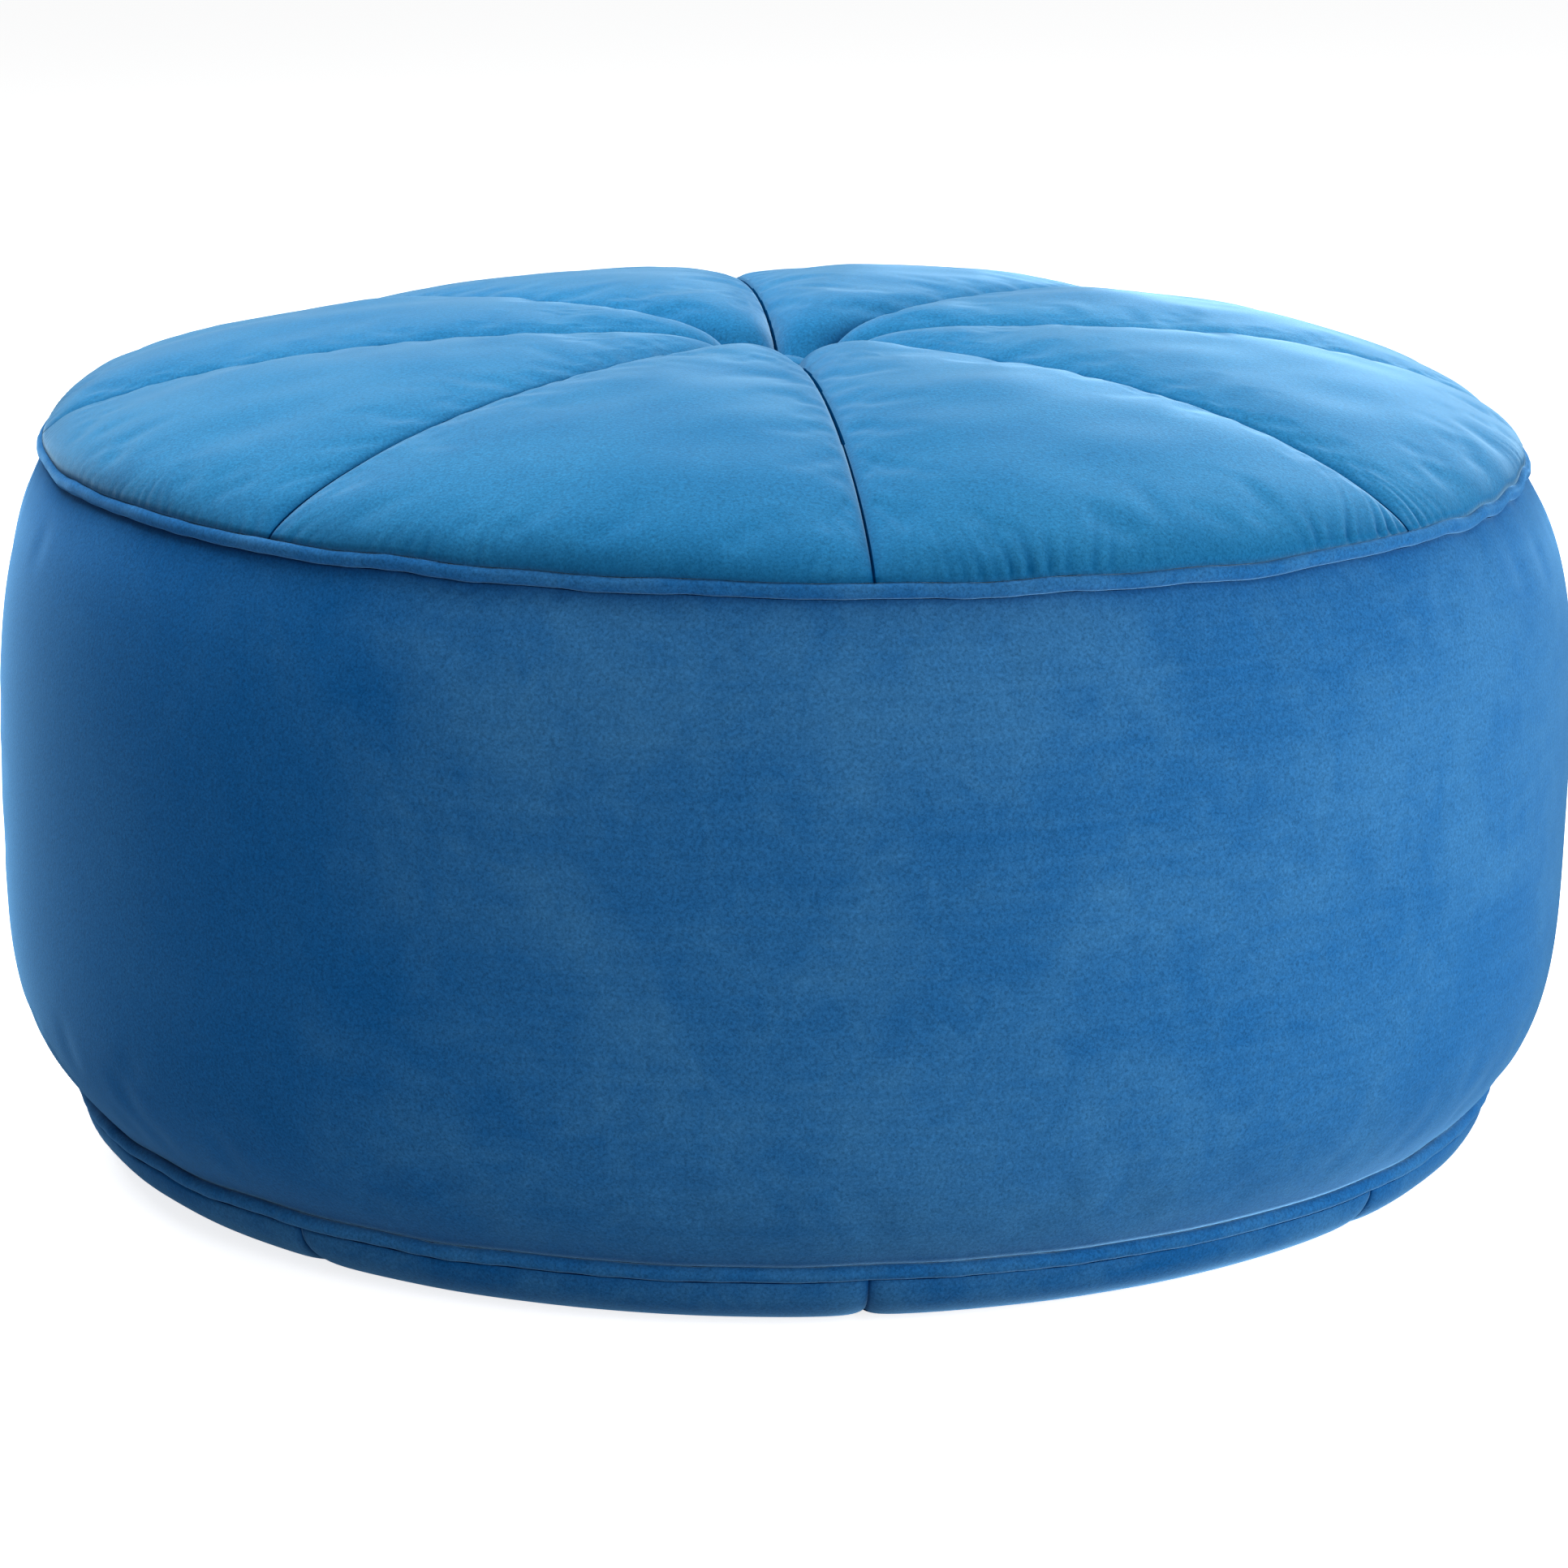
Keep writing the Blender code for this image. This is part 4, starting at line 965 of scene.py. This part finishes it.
def velvet(name, deep, raised, tips, patch, contrast, streak, sheen=None):
    """Short-pile velvet whose nap lies in brushed patches, with painted shade where the mesh carries it."""
    material, tree, shader, place_socket = new_material(name)
    nap = tree.nodes.new("ShaderNodeGroup")
    nap.node_tree = nap_effect()
    nap.inputs["Patch Size"].default_value = patch
    nap.inputs["Grain Size"].default_value = 0.0014
    tree.links.new(place_socket, nap.inputs["Place"])
    lie = math_node(tree, "ADD", math_node(tree, "MULTIPLY", nap.outputs["Patches"], contrast),
                    0.5 * (1 - contrast))
    level = math_node(tree, "SUBTRACT", nap.outputs["Streaks"], 0.5)
    lie = math_node(tree, "ADD", lie, math_node(tree, "MULTIPLY", level, streak))
    # Painted shade: the side band's left side is pushed towards its darker colour.
    if name == "velvet_side":
        lie = painted_shade_left(tree, place_socket, lie)
    lie_range = node(tree, "ShaderNodeMapRange", in_1=0.0, in_2=1.0)
    tree.links.new(lie, lie_range.inputs[0])
    lie = lie_range.outputs[0]
    colour = mix_colour(tree, lie, deep, raised)
    grain = node(tree, "ShaderNodeMapRange", in_1=0.3, in_2=0.7, in_3=0.72, in_4=1.28)
    tree.links.new(nap.outputs["Grain"], grain.inputs[0])
    tone = tree.nodes.new("ShaderNodeCombineColor")
    for index in range(3):
        tree.links.new(grain.outputs[0], tone.inputs[index])
    colour = mix_colour(tree, 1.0, colour, tone.outputs[0], "MULTIPLY")
    # Painted shade: the mesh's shade attribute darkens the colour towards a deep blue in creases, at seams
    # and in gathers.
    painted_shade = node(tree, "ShaderNodeAttribute", attribute_name="painted_shade")
    colour = mix_colour(tree, painted_shade.outputs["Fac"], colour, (0.0, deep[1] * 0.50, deep[2] * 0.62))
    tree.links.new(colour, shader.inputs["Base Color"])
    rough = node(tree, "ShaderNodeMapRange", in_1=0.0, in_2=1.0, in_3=0.92, in_4=0.78)
    tree.links.new(lie, rough.inputs[0])
    tree.links.new(rough.outputs[0], shader.inputs["Roughness"])
    shader.inputs["Specular IOR Level"].default_value = 0.0
    shader.inputs["Sheen Weight"].default_value = settings().sheen if sheen is None else sheen
    shader.inputs["Sheen Roughness"].default_value = 0.34
    shader.inputs["Sheen Tint"].default_value = (*tips, 1.0)
    height = math_node(tree, "ADD", math_node(tree, "MULTIPLY", nap.outputs["Grain"], 0.5),
                       math_node(tree, "MULTIPLY", lie, 0.5))
    raise_surface(tree, shader, height, 0.0006, 0.45)
    return material


def painted_shade_left(tree, place_socket, lie):
    """Pushes the band's left side towards its darker colour as painted shade, with a cloudy edge."""
    parts = tree.nodes.new("ShaderNodeSeparateXYZ")
    tree.links.new(place_socket, parts.inputs[0])
    cloud = node(tree, "ShaderNodeTexNoise", in_2=9.0, in_3=4.0, in_4=0.6, in_8=0.8)
    tree.links.new(place_socket, cloud.inputs["Vector"])
    shifted = math_node(tree, "ADD", parts.outputs[0],
                        math_node(tree, "MULTIPLY", math_node(tree, "SUBTRACT", cloud.outputs[0], 0.5), 0.22))
    side = node(tree, "ShaderNodeMapRange", in_1=-0.27, in_2=-0.14, in_3=0.0, in_4=1.0)
    side.interpolation_type = "SMOOTHSTEP"
    tree.links.new(shifted, side.inputs[0])
    return math_node(tree, "MULTIPLY", math_node(tree, "ADD", lie, 0.12),
                     math_node(tree, "ADD", math_node(tree, "MULTIPLY", side.outputs[0], 0.75), 0.25))


def woven(name, colour, thread):
    """Plain-woven cloth or tape."""
    material, tree, shader, place_socket = new_material(name)
    weave = tree.nodes.new("ShaderNodeGroup")
    weave.node_tree = weave_effect()
    weave.inputs["Thread Size"].default_value = thread
    tree.links.new(place_socket, weave.inputs["Place"])
    shade = mix_colour(tree, weave.outputs["Height"], tint(colour, 0.55), tint(colour, 1.5))
    worn = math_node(tree, "MULTIPLY", weave.outputs["Unevenness"], 0.5)
    shade = mix_colour(tree, worn, shade, tint(colour, 2.2))
    tree.links.new(shade, shader.inputs["Base Color"])
    shader.inputs["Roughness"].default_value = 0.88
    shader.inputs["Specular IOR Level"].default_value = 0.25
    raise_surface(tree, shader, weave.outputs["Height"], thread * 0.5, 0.7)
    return material


def fibre_fill(name):
    """White polyester wadding."""
    material, tree, shader, place_socket = new_material(name)
    noise = node(tree, "ShaderNodeTexNoise", in_2=160.0, in_3=6.0, in_4=0.7, in_8=2.2)
    tree.links.new(place_socket, noise.inputs["Vector"])
    shade = mix_colour(tree, noise.outputs[0], (0.62, 0.62, 0.6), (0.9, 0.9, 0.88))
    tree.links.new(shade, shader.inputs["Base Color"])
    shader.inputs["Roughness"].default_value = 0.95
    raise_surface(tree, shader, noise.outputs[0], 0.002, 0.8)
    return material


def foam_look(name):
    """Open-cell foam, pale yellow."""
    material, tree, shader, place_socket = new_material(name)
    cells = node(tree, "ShaderNodeTexVoronoi", in_2=900.0)
    tree.links.new(place_socket, cells.inputs["Vector"])
    shade = mix_colour(tree, cells.outputs["Distance"], (0.55, 0.48, 0.3), (0.86, 0.8, 0.58))
    tree.links.new(shade, shader.inputs["Base Color"])
    shader.inputs["Roughness"].default_value = 0.9
    raise_surface(tree, shader, cells.outputs["Distance"], 0.0008, 0.8)
    return material


def twisted(name, colour, pitch):
    """Twisted cotton strand."""
    material, tree, shader, place_socket = new_material(name)
    twist = node(tree, "ShaderNodeTexWave", wave_type="BANDS", bands_direction="DIAGONAL", in_1=0.31 / pitch,
                 in_2=1.5, in_3=2.0)
    tree.links.new(place_socket, twist.inputs["Vector"])
    shade = mix_colour(tree, twist.outputs["Fac"], tint(colour, 0.7), colour)
    tree.links.new(shade, shader.inputs["Base Color"])
    shader.inputs["Roughness"].default_value = 0.85
    raise_surface(tree, shader, twist.outputs["Fac"], 0.0004, 0.6)
    return material


def moulded(name, colour):
    """Moulded plastic with a faint texture."""
    material, tree, shader, place_socket = new_material(name)
    noise = node(tree, "ShaderNodeTexNoise", in_2=600.0, in_3=3.0, in_4=0.5)
    tree.links.new(place_socket, noise.inputs["Vector"])
    shade = mix_colour(tree, noise.outputs[0], tint(colour, 0.85), tint(colour, 1.15))
    tree.links.new(shade, shader.inputs["Base Color"])
    rough = node(tree, "ShaderNodeMapRange", in_3=0.35, in_4=0.55)
    tree.links.new(noise.outputs[0], rough.inputs[0])
    tree.links.new(rough.outputs[0], shader.inputs["Roughness"])
    raise_surface(tree, shader, noise.outputs[0], 0.0001, 0.3)
    return material


def plated(name):
    """Nickel-plated zinc with fine handling wear."""
    material, tree, shader, place_socket = new_material(name)
    noise = node(tree, "ShaderNodeTexNoise", in_2=700.0, in_3=4.0, in_4=0.65, in_8=0.5)
    tree.links.new(place_socket, noise.inputs["Vector"])
    shade = mix_colour(tree, noise.outputs[0], (0.42, 0.42, 0.43), (0.72, 0.72, 0.73))
    tree.links.new(shade, shader.inputs["Base Color"])
    shader.inputs["Metallic"].default_value = 1.0
    rough = node(tree, "ShaderNodeMapRange", in_3=0.22, in_4=0.45)
    tree.links.new(noise.outputs[0], rough.inputs[0])
    tree.links.new(rough.outputs[0], shader.inputs["Roughness"])
    raise_surface(tree, shader, noise.outputs[0], 0.00008, 0.3)
    return material


# Studio ----------------------------------------------------------------------


def softbox(name, position, target, size, power, colour=(1, 1, 1)):
    """A square soft light aimed at a point."""
    lamp = bpy.data.lights.new(name, "AREA")
    lamp.shape = "RECTANGLE"
    lamp.size, lamp.size_y = size
    lamp.energy = power
    lamp.color = colour
    holder = bpy.data.objects.new(name, lamp)
    bpy.context.scene.collection.objects.link(holder)
    holder.location = position
    holder.rotation_euler = (Vector(target) - Vector(position)).to_track_quat("-Z", "Y").to_euler()
    return holder


def make_studio():
    """A pale floor, a plain bright surround, soft lights and the camera."""
    props = settings()
    scene = bpy.context.scene
    work = bmesh.new()
    bmesh.ops.create_circle(work, cap_ends=True, radius=14.0, segments=96)
    mesh = mesh_of(work, "studio_floor")
    mesh.transform(Matrix.Translation((0, 0, -0.0002)))
    floor = bpy.data.objects.new("studio_floor", mesh)
    scene.collection.objects.link(floor)
    paper = bpy.data.materials.new("studio_paper")
    paper.use_nodes = True
    shader = paper.node_tree.nodes["Principled BSDF"]
    shader.inputs["Roughness"].default_value = 0.9
    shader.inputs["Specular IOR Level"].default_value = 0.1
    shader.inputs["Emission Color"].default_value = (1, 1, 1, 1)
    glow = paper.node_tree.nodes.new("ShaderNodeLightPath")
    strength = node(paper.node_tree, "ShaderNodeMapRange", in_3=0.10, in_4=0.80)
    paper.node_tree.links.new(glow.outputs["Is Camera Ray"], strength.inputs[0])
    paper.node_tree.links.new(strength.outputs[0], shader.inputs["Emission Strength"])
    paint = mix_colour(paper.node_tree, glow.outputs["Is Camera Ray"], (0.38, 0.39, 0.40), (0.93, 0.93, 0.93))
    paper.node_tree.links.new(paint, shader.inputs["Base Color"])
    side = paper.node_tree.nodes.new("ShaderNodeNewGeometry")
    clear = paper.node_tree.nodes.new("ShaderNodeBsdfTransparent")
    either = paper.node_tree.nodes.new("ShaderNodeMixShader")
    paper.node_tree.links.new(side.outputs["Backfacing"], either.inputs[0])
    paper.node_tree.links.new(shader.outputs[0], either.inputs[1])
    paper.node_tree.links.new(clear.outputs[0], either.inputs[2])
    paper.node_tree.links.new(either.outputs[0], paper.node_tree.nodes["Material Output"].inputs["Surface"])
    mesh.materials.append(paper)

    world = bpy.data.worlds.new("studio_surround")
    scene.world = world
    world.use_nodes = True
    tree = world.node_tree
    backdrop = tree.nodes["Background"]
    backdrop.inputs["Color"].default_value = (0.97, 0.985, 1.0, 1)
    backdrop.inputs["Strength"].default_value = props.surround
    seen = tree.nodes.new("ShaderNodeBackground")
    seen.inputs["Color"].default_value = (1, 1, 1, 1)
    seen.inputs["Strength"].default_value = 1.0
    path = tree.nodes.new("ShaderNodeLightPath")
    mix = tree.nodes.new("ShaderNodeMixShader")
    tree.links.new(path.outputs["Is Camera Ray"], mix.inputs[0])
    tree.links.new(backdrop.outputs[0], mix.inputs[1])
    tree.links.new(seen.outputs[0], mix.inputs[2])
    tree.links.new(mix.outputs[0], tree.nodes["World Output"].inputs["Surface"])

    softbox("overhead_softbox", (-0.55, 0.85, 2.3), (0, 0, 0.35), (2.4, 2.0), props.overhead)
    softbox("right_softbox", (2.7, -0.5, 0.30), (0, 0, 0.16), (1.6, 0.55), props.side_light)
    softbox("front_softbox", (1.3, -3.2, 1.4), (0, 0, 0.2), (1.6, 1.6), props.front_light)

    scene.view_settings.view_transform = "Standard"
    scene.view_settings.look = "None"

    lens = bpy.data.cameras.new("camera")
    lens.lens = CAMERA_LENS
    lens.sensor_width = 36.0
    lens.clip_end = 60
    camera = bpy.data.objects.new("camera", lens)
    scene.collection.objects.link(camera)
    turn = math.radians(CAMERA_TURN)
    camera.location = (-CAMERA_DISTANCE * math.sin(turn), -CAMERA_DISTANCE * math.cos(turn), CAMERA_HEIGHT)
    camera.rotation_euler = (math.radians(90 - CAMERA_PITCH), 0, -turn)
    scene.camera = camera


# Add-on ----------------------------------------------------------------------


class FloorCushionProps(bpy.types.PropertyGroup):
    """Sizes and colours of the cushion."""

    middle_puff: FloatProperty(name="Middle puff", description="How far a wedge swells at its middle",
                               default=0.0038, min=0.0, unit="LENGTH")
    shoulder: FloatProperty(name="Shoulder", description="How far a wedge rises right beside its seams",
                            default=0.0050, min=0.0, unit="LENGTH")
    pucker_depth: FloatProperty(name="Pucker depth", description="Depth of the gathers at the pipings",
                                default=0.0014, min=0.0, unit="LENGTH")
    cloth_ease: FloatProperty(name="Cloth ease", description="Share of extra cloth in each cut",
                              default=0.008, min=0.0, max=0.1, subtype="FACTOR")
    rim_tilt: FloatProperty(name="Rim tilt", description="How far the upper seam leans from left to right",
                            default=0.0060, min=0.0, unit="LENGTH")
    top_colour: FloatVectorProperty(name="Crown pile", description="Crown velvet with its pile leaning away",
                                    default=(0.010, 0.128, 0.300), size=3, min=0, max=1, subtype="COLOR")
    top_nap: FloatVectorProperty(name="Crown nap", description="Crown velvet with its pile brushed up",
                                 default=(0.024, 0.182, 0.370), size=3, min=0, max=1, subtype="COLOR")
    # The side pile colour is also the colour that the painted shade on the band's left side leans to.
    side_colour: FloatVectorProperty(name="Side pile", description="Side velvet with its pile leaning away",
                                     default=(0.001, 0.080, 0.270), size=3, min=0, max=1, subtype="COLOR")
    side_nap: FloatVectorProperty(name="Side nap", description="Side velvet with its pile brushed up",
                                  default=(0.040, 0.166, 0.360), size=3, min=0, max=1, subtype="COLOR")
    sheen_colour: FloatVectorProperty(name="Sheen colour", description="Crown pile's tips against the light",
                                      default=(0.42, 0.72, 1.0), size=3, min=0, max=1, subtype="COLOR")
    side_sheen: FloatVectorProperty(name="Side sheen", description="Side pile's tips against the light",
                                    default=(0.24, 0.58, 1.0), size=3, min=0, max=1, subtype="COLOR")
    sheen: FloatProperty(name="Sheen", description="Strength of the velvet's sheen",
                         default=0.9, min=0, max=1, subtype="FACTOR")
    surround: FloatProperty(name="Surround", description="Brightness of the plain surround",
                            default=0.16, min=0)
    overhead: FloatProperty(name="Overhead light", description="Power of the light above",
                            default=112.0, min=0, unit="POWER")
    side_light: FloatProperty(name="Side light", description="Power of the light on the right", default=62.0,
                              min=0, unit="POWER")
    front_light: FloatProperty(name="Front light", description="Power of the soft light in front",
                               default=60.0, min=0, unit="POWER")


class CUSHION_OT_make_crown(bpy.types.Operator):
    """Makes the eight stuffed wedges of the crown."""

    bl_idname = "cushion.make_crown"
    bl_label = "Crown wedges"

    def execute(self, context):
        make_crown()
        return {"FINISHED"}


class CUSHION_OT_make_side(bpy.types.Operator):
    """Makes the two strips of the side band."""

    bl_idname = "cushion.make_side"
    bl_label = "Side band"

    def execute(self, context):
        make_side()
        return {"FINISHED"}


class CUSHION_OT_make_underside(bpy.types.Operator):
    """Makes the eight turned-under panels."""

    bl_idname = "cushion.make_underside"
    bl_label = "Turned-under panels"

    def execute(self, context):
        make_underside()
        return {"FINISHED"}


class CUSHION_OT_make_pipings(bpy.types.Operator):
    """Makes the two covered pipings and their cords."""

    bl_idname = "cushion.make_pipings"
    bl_label = "Pipings"

    def execute(self, context):
        make_pipings()
        return {"FINISHED"}


class CUSHION_OT_make_fillings(bpy.types.Operator):
    """Makes the wadding layers and finishes the foam."""

    bl_idname = "cushion.make_fillings"
    bl_label = "Fillings"

    def execute(self, context):
        make_fillings()
        return {"FINISHED"}


class CUSHION_OT_make_base(bpy.types.Operator):
    """Makes the two lining cloths of the base and their stitches."""

    bl_idname = "cushion.make_base"
    bl_label = "Base lining"

    def execute(self, context):
        make_base()
        return {"FINISHED"}


class CUSHION_OT_make_zip(bpy.types.Operator):
    """Makes the zip's tapes and coils and finishes its metal parts."""

    bl_idname = "cushion.make_zip"
    bl_label = "Zip"

    def execute(self, context):
        make_zip()
        return {"FINISHED"}


class CUSHION_OT_make_tuft(bpy.types.Operator):
    """Makes the covered button and finishes the twine and the anchor."""

    bl_idname = "cushion.make_tuft"
    bl_label = "Tuft"

    def execute(self, context):
        make_tuft()
        return {"FINISHED"}


class CUSHION_OT_make_studio(bpy.types.Operator):
    """Makes the floor, the lights and the camera."""

    bl_idname = "cushion.make_studio"
    bl_label = "Studio"

    def execute(self, context):
        make_studio()
        return {"FINISHED"}


MAKERS = [
    CUSHION_OT_make_crown,
    CUSHION_OT_make_side,
    CUSHION_OT_make_underside,
    CUSHION_OT_make_pipings,
    CUSHION_OT_make_fillings,
    CUSHION_OT_make_base,
    CUSHION_OT_make_zip,
    CUSHION_OT_make_tuft,
    CUSHION_OT_make_studio,
]


class CUSHION_PT_maker(bpy.types.Panel):
    """Lists the cushion's makers."""

    bl_label = "Floor cushion"
    bl_idname = "CUSHION_PT_maker"
    bl_space_type = "VIEW_3D"
    bl_region_type = "UI"
    bl_category = "Floor cushion"

    def draw(self, context):
        for made in MAKERS:
            self.layout.operator(made.bl_idname)


CLASSES = [FloorCushionProps, *MAKERS, CUSHION_PT_maker]


def register():
    """Registers the add-on's classes and its settings."""
    for made in CLASSES:
        bpy.utils.register_class(made)
    bpy.types.Scene.floor_cushion = PointerProperty(type=FloorCushionProps)


def unregister():
    """Removes what register added."""
    del bpy.types.Scene.floor_cushion
    for made in reversed(CLASSES):
        bpy.utils.unregister_class(made)


def main():
    """Makes the cushion."""
    register()
    for made in MAKERS:
        group, action = made.bl_idname.split(".")
        getattr(getattr(bpy.ops, group), action)()
    bpy.context.view_layer.update()


if __name__ == "__main__":
    main()
